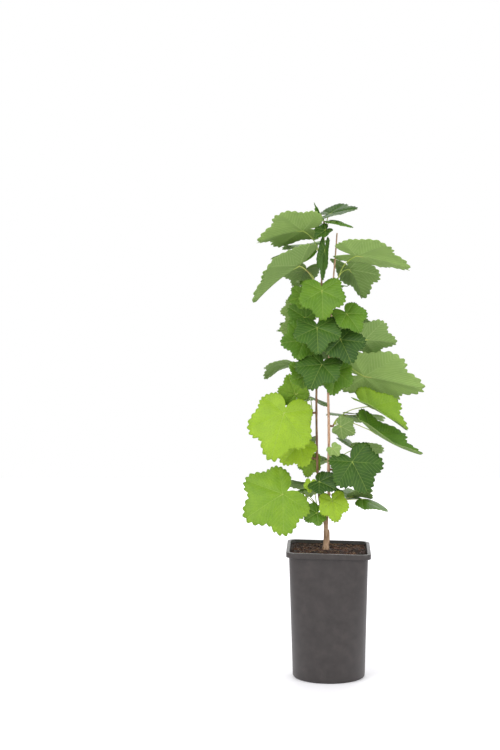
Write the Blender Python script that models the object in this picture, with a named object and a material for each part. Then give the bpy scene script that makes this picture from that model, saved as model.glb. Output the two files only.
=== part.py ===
"""Potted red currant bush: two upright stems with lobed leaves, in a square-to-round pot.

Metres, +Z up and +Y away from the front. The origin is the middle of the pot's flat underside.
"""

import math
import random
from typing import NamedTuple

import bmesh
import bpy
from mathutils import Vector, noise
from mathutils.bvhtree import BVHTree

GAP = 0.0003  # between two pieces that touch

# Pot: a rounded square at the rim that turns into a circle at the foot
POT_HEIGHT = 0.215
BASE_RADIUS = 0.060
WALL_TOP_HALF = 0.0645
WALL_TOP_CORNER = 0.012
WALL = 0.0012
FLOOR = 0.002
ROUND_MARGIN = 0.0005  # the foot keeps flats this short on each side
RIM_HALF = 0.069
RIM_CORNER = 0.015
RIM_HEIGHT = 0.0085
RIM_TOP = 0.0014  # thickness of the turned-over lip
RIM_DIP = 0.0018  # the soft rim is this much lower on the right and higher on the left
FOOT_CHAMFER = 0.0015
CORNER_STEPS = 6
DRAIN_RADIUS = 0.0045
DRAIN_RING = 0.043
DRAINS = 8

# Soil
SOIL_LEVEL = 0.2085
SOIL_MOUND = 0.004  # extra height behind the trunk
SOIL_ROUGHNESS = 0.0022
SOIL_LUMP = 0.016  # size of the lumps
SOIL_PATCH = 0.2110  # the flat patch that the trunk stands on
SOIL_PATCH_RADIUS = 0.010
SOIL_RINGS = 5

# Trunk and stems
TRUNK_X = -0.0045
TRUNK_TOP = 0.2700
TRUNK_FLARE = 0.0058
TRUNK_RADIUS = 0.0036
TRUNK_CROWN = 0.0056  # radius of the swelling that the two stems grow from
STUB_HEIGHT = 0.033
STUB_RADIUS = 0.0021
STUB_X = 0.0005
LEFT_STEM_RADII = (0.0021, 0.0013)
RIGHT_STEM_RADII = (0.0026, 0.0011)
# Points each stem passes through, from the trunk's crown to the tip
LEFT_STEM = (
    (-0.0080, 0.0010, TRUNK_TOP + GAP),
    (-0.0150, 0.0025, 0.296),
    (-0.0180, 0.0035, 0.344),
    (-0.0190, 0.0040, 0.395),
    (-0.0195, 0.0040, 0.460),
    (-0.0180, 0.0050, 0.530),
    (-0.0135, 0.0050, 0.600),
    (-0.0095, 0.0040, 0.670),
    (-0.0070, 0.0030, 0.715),
    (-0.0065, 0.0020, 0.752),
)
RIGHT_STEM = (
    (-0.0015, 0.0000, TRUNK_TOP + GAP),
    (0.0005, 0.0000, 0.302),
    (0.0005, 0.0015, 0.350),
    (0.0010, 0.0020, 0.410),
    (0.0000, 0.0030, 0.470),
    (0.0020, 0.0030, 0.540),
    (0.0050, 0.0030, 0.608),
    (0.0085, 0.0040, 0.655),
    (0.0120, 0.0050, 0.695),
    (0.0150, 0.0055, 0.733),
)

# Spurs and leaf stalks
SPUR_RADII = (0.0020, 0.0019, 0.0016)
SPUR_RUN = 0.0040
SPUR_RISE = 0.0035
STALK_RADIUS = 0.0010
STALK_SEGMENTS = 4
STALK_SUNK = 0.12  # of the blade's length that the stalk runs on into the blade

# Outline of a blade: angle from the midrib in degrees, and reach as a share of its length
OUTLINE = (
    (0, 0.99),
    (17, 0.87),
    (31, 0.71),
    (46, 0.86),
    (64, 0.86),
    (88, 0.63),
    (114, 0.68),
    (145, 0.48),
)
SINUS_REACH = 0.08
NOTCHES = (31, 88)
SIDE_VEIN_ANGLE = 57
HUB_REACH = 0.48
BLADE_THICKNESS = 0.0135  # of the blade's length

# Leaves that a seeded rule adds where the designed ones leave the crown thin
SEED = 11
TRIES = 60
SHRINKS = (1.0, 0.85, 0.70, 0.55)  # a leaf that meets another is tried again at these sizes
FILL_REACH = (0.030, 0.060)
FILL_RISE = (0.000, 0.030)
FILL_LENGTH = (0.042, 0.062)
FILL_PITCH = (-60, -10)
FILL_FACE = (30, 70)
FILL_FOLD = (-10, 25)
FILL_DROOP = (15, 45)
FILL_BREADTH = (0.85, 1.05)
FILL_SPREAD = 18
CROWN_RADIUS = 0.125


class Leaf(NamedTuple):
    """A leaf: where its stalk meets the blade, its tip, and the bearing and rise its upper side faces.

    fold is how far each half turns up from flat, and droop how far the midrib bends, in degrees.
    """

    base: tuple
    tip: tuple
    faces: tuple
    breadth: float = 1.0
    fold: float = 8.0
    droop: float = 20.0


class Mass(NamedTuple):
    """A spur on a stem with its leaves, and how many more the rule adds around which bearings."""

    name: str
    stem: str
    height: float
    bearing: float
    leaves: tuple
    fill: tuple
    reach: tuple  # lowest and highest point of this mass's own space


# Bearings are in degrees: 0 to the right, 90 to the back, 180 to the left, -90 to the front
MASSES = (
    Mass("foliage_low_left", "left_stem", 0.284, 185, (
        Leaf((-0.0750, -0.020, 0.306), (-0.1390, -0.035, 0.265), (-95, 25), 1.05, -8, 15),
        Leaf((-0.0190, -0.014, 0.274), (-0.0400, -0.024, 0.262), (-100, 15), 1.10, 5, 20),
    ), (100, 150), (0.240, 0.350)),
    Mass("foliage_low_right", "right_stem", 0.281, -15, (
        Leaf((0.0060, -0.012, 0.294), (0.0130, -0.020, 0.258), (-80, 15), 0.90, 10, 20),
        Leaf((0.0130, 0.006, 0.303), (0.0340, 0.004, 0.286), (-85, 35), 1.00, 5, 20),
        Leaf((0.0200, 0.016, 0.302), (0.0440, 0.024, 0.309), (-95, 86), 0.90, 5, 10),
    ), (60, 20), (0.240, 0.350)),
    Mass("foliage_low_front", "left_stem", 0.322, -110, (
        Leaf((-0.0150, -0.016, 0.326), (0.0140, -0.034, 0.314), (-90, 35), 0.85, 5, 25),
        Leaf((-0.0290, -0.008, 0.323), (-0.0320, -0.018, 0.299), (-95, 10), 0.80, 8, 15),
        Leaf((-0.0220, -0.022, 0.361), (-0.0210, -0.034, 0.315), (-140, 12), 0.90, 5, 25),
    ), (), (0.290, 0.370)),
    Mass("foliage_mid_left", "left_stem", 0.438, 195, (
        Leaf((-0.0720, -0.030, 0.441), (-0.0940, -0.052, 0.362), (-90, 15), 0.85, -15, 20),
        Leaf((-0.0295, -0.012, 0.449), (-0.0830, -0.028, 0.470), (-105, 42), 0.70, 8, 25),
        Leaf((-0.0290, -0.004, 0.422), (-0.0280, -0.010, 0.394), (180, 0), 0.80, 15, 15),
    ), (100, 150), (0.350, 0.500)),
    Mass("foliage_left_inner", "left_stem", 0.362, 190, (
        Leaf((-0.0420, -0.014, 0.408), (-0.0540, -0.022, 0.338), (-150, 8), 0.85, -20, 20),
        Leaf((-0.0480, 0.006, 0.386), (-0.0780, 0.002, 0.352), (-92, 20), 1.05, 8, 20),
        Leaf((-0.0300, 0.010, 0.360), (-0.0360, 0.014, 0.328), (-90, 5), 0.80, 5, 10),
        Leaf((-0.0290, -0.016, 0.386), (-0.0240, -0.046, 0.367), (-95, 50), 1.00, -12, 30),
    ), (120, 160), (0.310, 0.430)),
    Mass("foliage_right_low", "right_stem", 0.344, 0, (
        Leaf((0.0390, -0.015, 0.359), (0.0650, -0.030, 0.308), (-85, 25), 1.00, 10, 20),
        Leaf((0.0070, -0.014, 0.381), (0.0270, -0.020, 0.358), (92, 15), 1.00, 5, 15),
    ), (50, 90), (0.300, 0.400)),
    Mass("foliage_right", "right_stem", 0.520, -5, (
        Leaf((0.0600, 0.014, 0.497), (0.1600, 0.004, 0.474), (92, 25), 0.60, 12, 20),
        Leaf((0.0605, 0.010, 0.558), (0.1150, 0.024, 0.550), (90, 28), 0.80, 15, 20),
        Leaf((0.0130, -0.020, 0.509), (0.0060, -0.034, 0.468), (-88, 20), 0.90, 8, 25),
    ), (60, 100), (0.440, 0.600)),
    Mass("foliage_right_mid", "right_stem", 0.416, 5, (
        Leaf((0.0665, -0.005, 0.449), (0.1300, -0.012, 0.408), (-62, 58), 0.60, 35, 15),
        Leaf((0.0705, -0.012, 0.410), (0.1560, -0.020, 0.370), (-75, 72), 0.40, 30, -25),
        Leaf((0.0205, -0.004, 0.416), (0.0490, -0.006, 0.401), (95, 20), 1.00, 5, 15),
    ), (70, 30), (0.360, 0.460)),
    Mass("foliage_left_upper", "left_stem", 0.490, 170, (
        Leaf((-0.0540, 0.005, 0.468), (-0.0670, 0.002, 0.503), (-92, 25), 0.95, 5, 15),
        Leaf((-0.0390, -0.020, 0.500), (-0.0640, -0.028, 0.522), (-95, 30), 0.90, 5, 20),
        Leaf((-0.0100, -0.030, 0.520), (-0.0300, -0.052, 0.478), (-100, 30), 1.00, 10, 25),
    ), (90, 140), (0.440, 0.560)),
    Mass("foliage_left_high", "left_stem", 0.566, 175, (
        Leaf((-0.0390, -0.016, 0.559), (-0.0860, -0.026, 0.553), (-92, 15), 1.05, 5, 20),
        Leaf((-0.0370, 0.004, 0.594), (-0.0660, 0.004, 0.613), (-92, 12), 1.10, 5, 15),
        Leaf((-0.0480, 0.018, 0.607), (-0.0800, 0.022, 0.602), (85, 20), 0.90, 5, 15),
        Leaf((-0.0480, 0.016, 0.580), (-0.0810, 0.012, 0.574), (88, 10), 0.90, 5, 15),
        Leaf((-0.0180, -0.030, 0.580), (-0.0160, -0.056, 0.536), (-90, 30), 1.00, 10, 25),
    ), (100, 140), (0.500, 0.640)),
    Mass("foliage_right_inner", "right_stem", 0.588, 10, (
        Leaf((0.0300, -0.018, 0.602), (0.0520, -0.034, 0.570), (-80, 35), 0.90, 10, 25),
        Leaf((0.0200, -0.026, 0.560), (0.0380, -0.046, 0.520), (-80, 30), 1.00, 10, 25),
    ), (70, 110), (0.500, 0.640)),
    Mass("foliage_left_top", "left_stem", 0.640, 180, (
        Leaf((-0.0470, -0.008, 0.680), (-0.1210, -0.024, 0.617), (168, 48), 0.55, 38, 20),
        Leaf((-0.0400, -0.002, 0.630), (-0.0660, -0.008, 0.622), (-92, 20), 1.00, 5, 15),
        Leaf((-0.0100, -0.024, 0.640), (-0.0080, -0.042, 0.590), (-90, 25), 0.95, 10, 25),
    ), (110, 70), (0.580, 0.700)),
    Mass("foliage_right_high", "right_stem", 0.655, 0, (
        Leaf((0.0460, -0.028, 0.696), (0.1490, -0.034, 0.667), (88, 60), 0.60, 12, 20),
        Leaf((0.0160, -0.008, 0.668), (0.0400, -0.026, 0.658), (-80, 60), 0.90, 0, 40),
    ), (60, 110), (0.600, 0.730)),
    Mass("foliage_top_left", "left_stem", 0.700, 170, (
        Leaf((-0.0410, -0.008, 0.737), (-0.1170, -0.024, 0.718), (92, 60), 0.90, 8, 20),
        Leaf((-0.0170, -0.004, 0.714), (-0.0830, -0.020, 0.690), (95, 66), 0.60, 5, 20),
        Leaf((-0.0190, -0.016, 0.700), (-0.0250, -0.022, 0.648), (170, -8), 0.40, 20, 15),
        Leaf((-0.0050, -0.014, 0.706), (-0.0080, -0.021, 0.645), (-120, 0), 0.30, 20, 10),
    ), (110, 150), (0.640, 0.770)),
    Mass("foliage_top", "left_stem", 0.738, 60, (
        Leaf((-0.0110, 0.004, 0.762), (-0.0225, 0.006, 0.784), (-150, 30), 0.28, 40, 5),
        Leaf((0.0030, -0.002, 0.764), (0.0500, -0.010, 0.771), (-92, 68), 0.75, 6, 15),
        Leaf((0.0080, -0.020, 0.751), (0.0690, -0.034, 0.731), (-95, 72), 0.36, -5, 15),
        Leaf((-0.0020, 0.012, 0.755), (0.0070, 0.062, 0.724), (88, 52), 0.85, 5, 25),
        Leaf((-0.0040, -0.014, 0.738), (-0.0220, -0.020, 0.724), (-100, 40), 0.80, 10, 15),
    ), (), (0.700, 0.790)),
)


def unit(bearing, rise=0.0):
    """The unit vector along a bearing and a rise, both in degrees."""
    b, r = math.radians(bearing), math.radians(rise)
    return Vector((math.cos(b) * math.cos(r), math.sin(b) * math.cos(r), math.sin(r)))


def mix(a, b, share):
    return a + (b - a) * share


def smooth_path(points, steps):
    """Points along a Catmull-Rom curve through the given ones."""
    knots = [Vector(p) for p in points]
    knots = [knots[0] * 2 - knots[1], *knots, knots[-1] * 2 - knots[-2]]
    path = []
    for a, b, c, d in zip(knots, knots[1:], knots[2:], knots[3:]):
        for step in range(steps):
            t = step / steps
            path.append(
                0.5 * (2 * b + (c - a) * t + (2 * a - 5 * b + 4 * c - d) * t**2
                       + (3 * b - a - 3 * c + d) * t**3)
            )
    return [*path, knots[-2]]


def bridge(mesh, low, high):
    """Faces between two rings of as many vertices, the second further along the outward turn."""
    for i, vertex in enumerate(low):
        j = (i + 1) % len(low)
        mesh.faces.new((vertex, low[j], high[j], high[i]))


def cap(mesh, ring, centre, facing_back):
    """A fan that closes a ring."""
    middle = mesh.verts.new(centre)
    for i, vertex in enumerate(ring):
        after = ring[(i + 1) % len(ring)]
        mesh.faces.new((middle, after, vertex) if facing_back else (middle, vertex, after))


def add_tube(mesh, path, radii, sides, flat_ends=False):
    """A closed tapering tube along a path. With flat_ends its end rings lie level."""
    start = (path[1] - path[0]).normalized()
    across = start.orthogonal().normalized()
    rings = []
    for i, point in enumerate(path):
        ahead = path[min(i + 1, len(path) - 1)] - path[max(i - 1, 0)]
        along = ahead.normalized()
        if flat_ends and i in (0, len(path) - 1):
            along = Vector((0, 0, 1))
        across = (across - along * across.dot(along)).normalized()
        beside = along.cross(across)
        ring = []
        for k in range(sides):
            angle = 2 * math.pi * k / sides
            ring.append(mesh.verts.new(
                point + (across * math.cos(angle) + beside * math.sin(angle)) * radii[i]
            ))
        rings.append(ring)
    for low, high in zip(rings, rings[1:]):
        bridge(mesh, low, high)
    cap(mesh, rings[0], path[0], True)
    cap(mesh, rings[-1], path[-1], False)


def section_ring(mesh, half, corner, z):
    """A rounded square of the pot at a height, its corners as arcs, with the rim's dip."""
    ring = []
    for quarter in range(4):
        turn = math.radians(90 * quarter)
        centre = Vector((half - corner, half - corner))
        for step in range(CORNER_STEPS + 1):
            angle = math.radians(90) * step / CORNER_STEPS
            x, y = centre.x + corner * math.cos(angle), centre.y + corner * math.sin(angle)
            px = x * math.cos(turn) - y * math.sin(turn)
            py = x * math.sin(turn) + y * math.cos(turn)
            ring.append(mesh.verts.new((px, py, z - rim_dip(px, z))))
    return ring


def rim_dip(x, z):
    return RIM_DIP * x / RIM_HALF * (max(z, 0.0) / POT_HEIGHT) ** 2


def wall_section(z, inset=0.0):
    """Half width and corner radius of the pot's outer wall at a height, drawn in by an inset."""
    share = z / POT_HEIGHT
    half = mix(BASE_RADIUS, WALL_TOP_HALF, share)
    corner = mix(BASE_RADIUS - ROUND_MARGIN, WALL_TOP_CORNER, share)
    return half - inset, corner - inset


def build_pot():
    """The pot with its turned-over rim, from the inner floor round to the underside."""
    lip_low = POT_HEIGHT - RIM_HEIGHT
    under_lip = POT_HEIGHT - RIM_TOP
    lip_inner = (RIM_HALF - RIM_TOP, RIM_CORNER - RIM_TOP)
    base_half, base_corner = wall_section(0.0)
    profile = (
        (*wall_section(FLOOR, WALL), FLOOR),
        (*wall_section(POT_HEIGHT, WALL), POT_HEIGHT - RIM_TOP / 2),
        (*wall_section(POT_HEIGHT, WALL / 2), POT_HEIGHT),
        (RIM_HALF - RIM_TOP / 2, RIM_CORNER, POT_HEIGHT),
        (RIM_HALF, RIM_CORNER, POT_HEIGHT - RIM_TOP / 2),
        (RIM_HALF, RIM_CORNER, lip_low),
        (*lip_inner, lip_low),
        (*lip_inner, under_lip),
        (*wall_section(under_lip), under_lip),
        (*wall_section(lip_low), lip_low),
        (*wall_section(FOOT_CHAMFER * 2), FOOT_CHAMFER * 2),
        (base_half - FOOT_CHAMFER, base_corner - FOOT_CHAMFER, 0.0),
    )
    mesh = bmesh.new()
    rings = [section_ring(mesh, *section) for section in profile]
    for inner, outer in zip(rings, rings[1:]):
        bridge(mesh, outer, inner)
    cap(mesh, rings[0], (0, 0, FLOOR), False)
    cap(mesh, rings[-1], (0, 0, 0), True)
    pot = finish("pot", mesh, "charcoal_plastic", 30)
    drains = bmesh.new()
    for k in range(DRAINS):
        spot = unit(360 * (k + 0.5) / DRAINS) * DRAIN_RING
        path = [spot - Vector((0, 0, FLOOR)), spot + Vector((0, 0, 2 * FLOOR))]
        add_tube(drains, path, (DRAIN_RADIUS, DRAIN_RADIUS), 12)
    cut(pot, drains)


def soil_height(x, y):
    """Height of the soil's lumpy surface, level where the trunk stands."""
    here = Vector((x, y, 0))
    lumps = noise.noise(here / SOIL_LUMP) + 0.5 * noise.noise(here * 2.3 / SOIL_LUMP)
    behind = math.exp(-((x / 0.045) ** 2) - ((y - 0.025) / 0.030) ** 2)
    rough = SOIL_LEVEL + SOIL_ROUGHNESS * lumps + SOIL_MOUND * behind - rim_dip(x, POT_HEIGHT)
    away = (here - Vector((TRUNK_X, 0, 0))).length
    share = min(max((away - SOIL_PATCH_RADIUS) / SOIL_PATCH_RADIUS, 0.0), 1.0)
    return mix(SOIL_PATCH, rough, share)


def build_soil():
    """The soil that fills the pot up to a lumpy top."""
    mesh = bmesh.new()
    inset = WALL + GAP
    low = FLOOR + GAP
    rings = [
        section_ring(mesh, *wall_section(low, inset), low),
        section_ring(mesh, *wall_section(SOIL_LEVEL, inset), SOIL_LEVEL),
    ]
    outer = [vertex.co.copy() for vertex in rings[-1]]
    for vertex in rings[-1]:
        vertex.co.z = soil_height(vertex.co.x, vertex.co.y)
    for k in range(SOIL_RINGS - 1, 0, -1):
        share = (k - 0.25) / SOIL_RINGS
        spots = [co * share for co in outer]
        rings.append([mesh.verts.new((p.x, p.y, soil_height(p.x, p.y))) for p in spots])
    for inner, outside in zip(rings, rings[1:]):
        bridge(mesh, inner, outside)
    cap(mesh, rings[0], (0, 0, low), True)
    cap(mesh, rings[-1], (0, 0, soil_height(0, 0)), False)
    return finish("soil", mesh, "potting_soil", 30)


def build_trunk():
    """The short trunk with its root flare, its crown, and the old cut stub beside it."""
    foot = SOIL_PATCH + GAP
    stages = (
        (0.00, TRUNK_FLARE, 0.0000), (0.04, TRUNK_FLARE * 0.97, 0.0000),
        (0.14, TRUNK_RADIUS * 1.25, 0.0001), (0.35, TRUNK_RADIUS, 0.0002),
        (0.62, TRUNK_RADIUS * 0.97, 0.0004), (0.82, TRUNK_RADIUS * 1.10, 0.0000),
        (0.93, TRUNK_CROWN * 0.93, -0.0004), (1.00, TRUNK_CROWN, -0.0006),
    )
    path = [Vector((TRUNK_X + lean, 0, mix(foot, TRUNK_TOP, share))) for share, _, lean in stages]
    mesh = bmesh.new()
    add_tube(mesh, path, [radius for _, radius, _ in stages], 12, flat_ends=True)
    trunk = finish("trunk", mesh, "currant_bark", 60)
    stub = bmesh.new()
    stub_path = smooth_path((
        (TRUNK_X + 0.0012, -0.0008, foot + 0.004),
        (STUB_X - 0.0006, -0.0014, foot + 0.012),
        (STUB_X, -0.0016, foot + 0.024),
        (STUB_X - 0.0008, -0.0012, foot + STUB_HEIGHT),
    ), 2)
    taper = [STUB_RADIUS * (1.0 - 0.35 * i / (len(stub_path) - 1)) for i in range(len(stub_path))]
    add_tube(stub, stub_path, taper, 8)
    unite(trunk, [finish("stub", stub, "currant_bark", 60)])
    return trunk


def stem_path(name):
    return smooth_path(LEFT_STEM if name == "left_stem" else RIGHT_STEM, 3)


def stem_radius(name, z):
    """Radius of a stem at a height."""
    low, high = LEFT_STEM_RADII if name == "left_stem" else RIGHT_STEM_RADII
    points = LEFT_STEM if name == "left_stem" else RIGHT_STEM
    foot, tip = points[0][2], points[-1][2]
    return mix(low, high, (z - foot) / (tip - foot))


def build_stem(name):
    """One tapering stem from the trunk's crown to its tip."""
    path = stem_path(name)
    mesh = bmesh.new()
    add_tube(mesh, path, [stem_radius(name, p.z) for p in path], 8, flat_ends=True)
    return finish(name, mesh, "currant_bark", 60)


def blade_frame(leaf):
    """Origin, three axes and length of a blade whose bent midrib runs from base to tip."""
    base, tip = Vector(leaf.base), Vector(leaf.tip)
    chord = tip - base
    along = chord.normalized()
    up = unit(*leaf.faces)
    up = (up - along * up.dot(along)).normalized()
    bend = math.radians(leaf.droop) or 1e-4
    span = math.sin(bend / 2) * 2 / bend
    forward = along * math.cos(bend / 2) + up * math.sin(bend / 2)
    normal = up * math.cos(bend / 2) - along * math.sin(bend / 2)
    return base, forward, normal.cross(forward), normal, chord.length / span


def blade_point(leaf, frame, u, v):
    """A point of the folded, bent blade, u along the midrib and v to its left, as shares."""
    base, forward, left, normal, length = frame
    fold, bend = math.radians(leaf.fold), math.radians(leaf.droop) or 1e-4
    v *= leaf.breadth
    side, lift = v * math.cos(fold), abs(v) * math.sin(fold)
    along = math.sin(bend * u) / bend + lift * math.sin(bend * u)
    rise = (math.cos(bend * u) - 1) / bend + lift * math.cos(bend * u)
    return base + (forward * along + left * side + normal * rise) * length


def outline_points():
    """(angle, reach) round the blade, from its sinus by the right side back to the sinus."""
    right = [(-angle, reach) for angle, reach in reversed(OUTLINE[1:])]
    return [(-180, SINUS_REACH), *right, *OUTLINE, (180, SINUS_REACH)]


def add_blade(mesh, leaf):
    """A lobed blade with a fan of faces round a hub in each main lobe, given its thickness."""
    frame = blade_frame(leaf)
    sheet = bmesh.new()

    def vertex(angle, reach):
        turn = math.radians(angle)
        return sheet.verts.new(
            blade_point(leaf, frame, reach * math.cos(turn), reach * math.sin(turn))
        )

    rim = outline_points()[:-1]
    ring = [vertex(angle, reach) for angle, reach in rim]
    ring.append(ring[0])
    angles = [angle for angle, _ in rim] + [180]
    centre = vertex(0, 0)
    notch, deep = NOTCHES
    sectors = (
        (-180, -deep, centre), (-deep, -notch, vertex(-SIDE_VEIN_ANGLE, HUB_REACH)),
        (-notch, notch, vertex(0, HUB_REACH)),
        (notch, deep, vertex(SIDE_VEIN_ANGLE, HUB_REACH)), (deep, 180, centre),
    )
    for start, end, hub in sectors:
        points = [p for p, angle in zip(ring, angles) if start <= angle <= end]
        for a, b in zip(points, points[1:]):
            sheet.faces.new((hub, a, b))
        if hub is not centre:
            sheet.faces.new((centre, points[0], hub))
            sheet.faces.new((centre, hub, points[-1]))
    thicken(mesh, sheet, ring[:-1], frame[4] * BLADE_THICKNESS)


def thicken(mesh, sheet, ring, thickness):
    """Adds an open sheet to a mesh as a closed plate, its underside set back along the normals."""
    sheet.normal_update()
    sheet.verts.index_update()
    top = [mesh.verts.new(v.co) for v in sheet.verts]
    under = [mesh.verts.new(v.co - v.normal * thickness) for v in sheet.verts]
    for face in sheet.faces:
        corners = [v.index for v in face.verts]
        mesh.faces.new([top[i] for i in corners])
        mesh.faces.new([under[i] for i in reversed(corners)])
    rim = [v.index for v in ring]
    for i, j in zip(rim, rim[1:] + rim[:1]):
        mesh.faces.new((top[i], under[i], under[j], top[j]))
    sheet.free()


def spur_path(mass):
    """The short spur that starts a hair clear of its stem, level, and turns up."""
    path = stem_path(mass.stem)
    i = min(range(1, len(path)), key=lambda k: abs(path[k].z - mass.height))
    low = i - 1 if path[i].z > mass.height else min(i, len(path) - 2)
    share = (mass.height - path[low].z) / (path[low + 1].z - path[low].z)
    on_axis = path[low].lerp(path[low + 1], share)
    along = (path[low + 1] - path[low]).normalized()
    out = unit(mass.bearing)
    out = (out - along * out.dot(along)).normalized()
    root = on_axis + out * (stem_radius(mass.stem, mass.height) + GAP)
    bend = root + out * SPUR_RUN
    return [root, bend, bend + out * SPUR_RISE * 0.7 + Vector((0, 0, SPUR_RISE))]


def stalk_path(mass, leaf):
    """The leaf's stalk, from inside the spur's end, curving over into the blade's midrib."""
    spur = spur_path(mass)
    start = spur[1].lerp(spur[2], 0.5)
    frame = blade_frame(leaf)
    base, forward = frame[0], frame[1]
    way = base - start
    first = start + (way.normalized() + Vector((0, 0, 0.9))) * way.length * 0.30
    last = base - (forward * 0.35 + way.normalized() * 0.65) * way.length * 0.35
    path = []
    for step in range(STALK_SEGMENTS):
        t = step / STALK_SEGMENTS
        path.append(start * (1 - t) ** 3 + first * 3 * t * (1 - t) ** 2
                    + last * 3 * t**2 * (1 - t) + base * t**3)
    under = frame[3] * frame[4] * BLADE_THICKNESS / 2
    path.append(base - under)
    path.append(blade_point(leaf, frame, STALK_SUNK, 0) - under)
    return path


def add_stalk(mesh, mass, leaf):
    """The leaf's stalk as a three-sided tube."""
    path = stalk_path(mass, leaf)
    radii = [STALK_RADIUS] * (len(path) - 1) + [STALK_RADIUS * 0.6]
    add_tube(mesh, path, radii, 3)


def tree_of(mesh):
    """A search tree of a bmesh, which is freed."""
    tree = BVHTree.FromBMesh(mesh)
    mesh.free()
    return tree


def in_space(mass, mesh):
    """Whether a bmesh keeps to the mass's own layer of the crown."""
    low, high = mass.reach
    return all(
        low < v.co.z < high and math.hypot(v.co.x, v.co.y) < CROWN_RADIUS for v in mesh.verts
    )


def fits(mass, leaf, taken, confined):
    """Whether a leaf touches nothing that stands already; if it does not, it is taken in."""
    blade, stalk = bmesh.new(), bmesh.new()
    add_blade(blade, leaf)
    add_stalk(stalk, mass, leaf)
    inside = not confined or in_space(mass, blade)
    blade, stalk = tree_of(blade), tree_of(stalk)
    for owner, is_blade, tree in taken:
        if blade.overlap(tree) or ((owner != mass.name or is_blade) and stalk.overlap(tree)):
            return False
    if inside:
        taken += [(mass.name, True, blade), (mass.name, False, stalk)]
    return inside


def shrunk(leaf, share):
    """The leaf with its blade drawn in towards its base."""
    base, tip = Vector(leaf.base), Vector(leaf.tip)
    return leaf._replace(tip=tuple(base.lerp(tip, share)))


def seeded_leaf(spur, wanted, rng):
    """One try at a leaf on about the wanted bearing from the end of a spur."""
    bearing = wanted + rng.uniform(-FILL_SPREAD, FILL_SPREAD)
    base = spur + unit(bearing) * rng.uniform(*FILL_REACH)
    base.z += rng.uniform(*FILL_RISE)
    heading = bearing + rng.uniform(-FILL_SPREAD, FILL_SPREAD)
    tip = base + unit(heading, rng.uniform(*FILL_PITCH)) * rng.uniform(*FILL_LENGTH)
    return Leaf(
        tuple(base), tuple(tip), (bearing, rng.uniform(*FILL_FACE)),
        rng.uniform(*FILL_BREADTH), rng.uniform(*FILL_FOLD), rng.uniform(*FILL_DROOP),
    )


def first_that_fits(mass, tries, taken, confined):
    """The first of the tries that fits, in a list, or an empty list."""
    for leaf in tries:
        if fits(mass, leaf, taken, confined):
            return [leaf]
    return []


def all_leaves(limbs):
    """Every leaf by the name of its mass: the designed ones first, then what the rule adds."""
    graph = bpy.context.evaluated_depsgraph_get()
    taken = [(limb.name, True, BVHTree.FromObject(limb, graph)) for limb in limbs]
    for mass in MASSES:
        spur = bmesh.new()
        add_tube(spur, spur_path(mass), SPUR_RADII, 6)
        taken.append((mass.name, False, tree_of(spur)))
    grown = {}
    for mass in MASSES:
        grown[mass.name] = []
        for leaf in mass.leaves:
            tries = [shrunk(leaf, share) for share in SHRINKS]
            grown[mass.name] += first_that_fits(mass, tries, taken, False)
    rng = random.Random(SEED)
    for mass in MASSES:
        end = spur_path(mass)[-1]
        for wanted in mass.fill:
            tries = [seeded_leaf(end, wanted, rng) for _ in range(TRIES)]
            grown[mass.name] += first_that_fits(mass, tries, taken, True)
    return grown


def build_mass(mass, leaves):
    """A spur with its stalks and blades joined into one closed body."""
    mesh = bmesh.new()
    add_tube(mesh, spur_path(mass), SPUR_RADII, 6)
    body = finish(mass.name, mesh, "currant_leaf", 30)
    parts = []
    for i, leaf in enumerate(leaves):
        for kind, add in (("blade", lambda m, _, one: add_blade(m, one)), ("stalk", add_stalk)):
            piece = bmesh.new()
            add(piece, mass, leaf)
            parts.append(finish(f"{mass.name}_{kind}_{i}", piece, "currant_leaf", 30))
    unite(body, parts)
    return body


def material(name):
    """The named material, made on first use."""
    looks = {
        "charcoal_plastic": ((0.068, 0.056, 0.054), 0.45),
        "potting_soil": ((0.035, 0.017, 0.010), 0.95),
        "currant_bark": ((0.330, 0.190, 0.115), 0.80),
        "currant_leaf": ((0.190, 0.340, 0.045), 0.55),
    }
    found = bpy.data.materials.get(name)
    if found:
        return found
    made = bpy.data.materials.new(name)
    made.use_nodes = True
    shader = made.node_tree.nodes["Principled BSDF"]
    colour, roughness = looks[name]
    shader.inputs["Base Color"].default_value = (*colour, 1.0)
    shader.inputs["Roughness"].default_value = roughness
    shader.inputs["Metallic"].default_value = 0.0
    return made


def finish(name, mesh, look, sharp_above):
    """Turns a bmesh into a named object with its material, smooth below an edge angle."""
    bmesh.ops.recalc_face_normals(mesh, faces=mesh.faces)
    data = bpy.data.meshes.new(name)
    mesh.to_mesh(data)
    mesh.free()
    data.materials.append(material(look))
    data.shade_smooth()
    data.set_sharp_from_angle(angle=math.radians(sharp_above))
    made = bpy.data.objects.new(name, data)
    bpy.context.scene.collection.objects.link(made)
    return made


def apply_boolean(target, modifier):
    """Replaces the object's mesh by its evaluated one and drops the modifier."""
    graph = bpy.context.evaluated_depsgraph_get()
    joined = bpy.data.meshes.new_from_object(target.evaluated_get(graph))
    target.modifiers.remove(modifier)
    target.data = joined


def cut(target, cutter_mesh):
    """Cuts a bmesh out of an object."""
    cutter = finish("cutter", cutter_mesh, "charcoal_plastic", 30)
    modifier = target.modifiers.new("cut", "BOOLEAN")
    modifier.operation, modifier.solver, modifier.object = "DIFFERENCE", "EXACT", cutter
    apply_boolean(target, modifier)
    bpy.data.objects.remove(cutter)


def unite(target, parts):
    """Joins the parts to the target by one union on a collection, and removes them."""
    group = bpy.data.collections.new("joined")
    bpy.context.scene.collection.children.link(group)
    for part in parts:
        bpy.context.scene.collection.objects.unlink(part)
        group.objects.link(part)
    modifier = target.modifiers.new("join", "BOOLEAN")
    modifier.operation, modifier.solver = "UNION", "EXACT"
    modifier.operand_type, modifier.collection = "COLLECTION", group
    apply_boolean(target, modifier)
    for part in parts:
        bpy.data.objects.remove(part)
    bpy.data.collections.remove(group)


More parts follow.
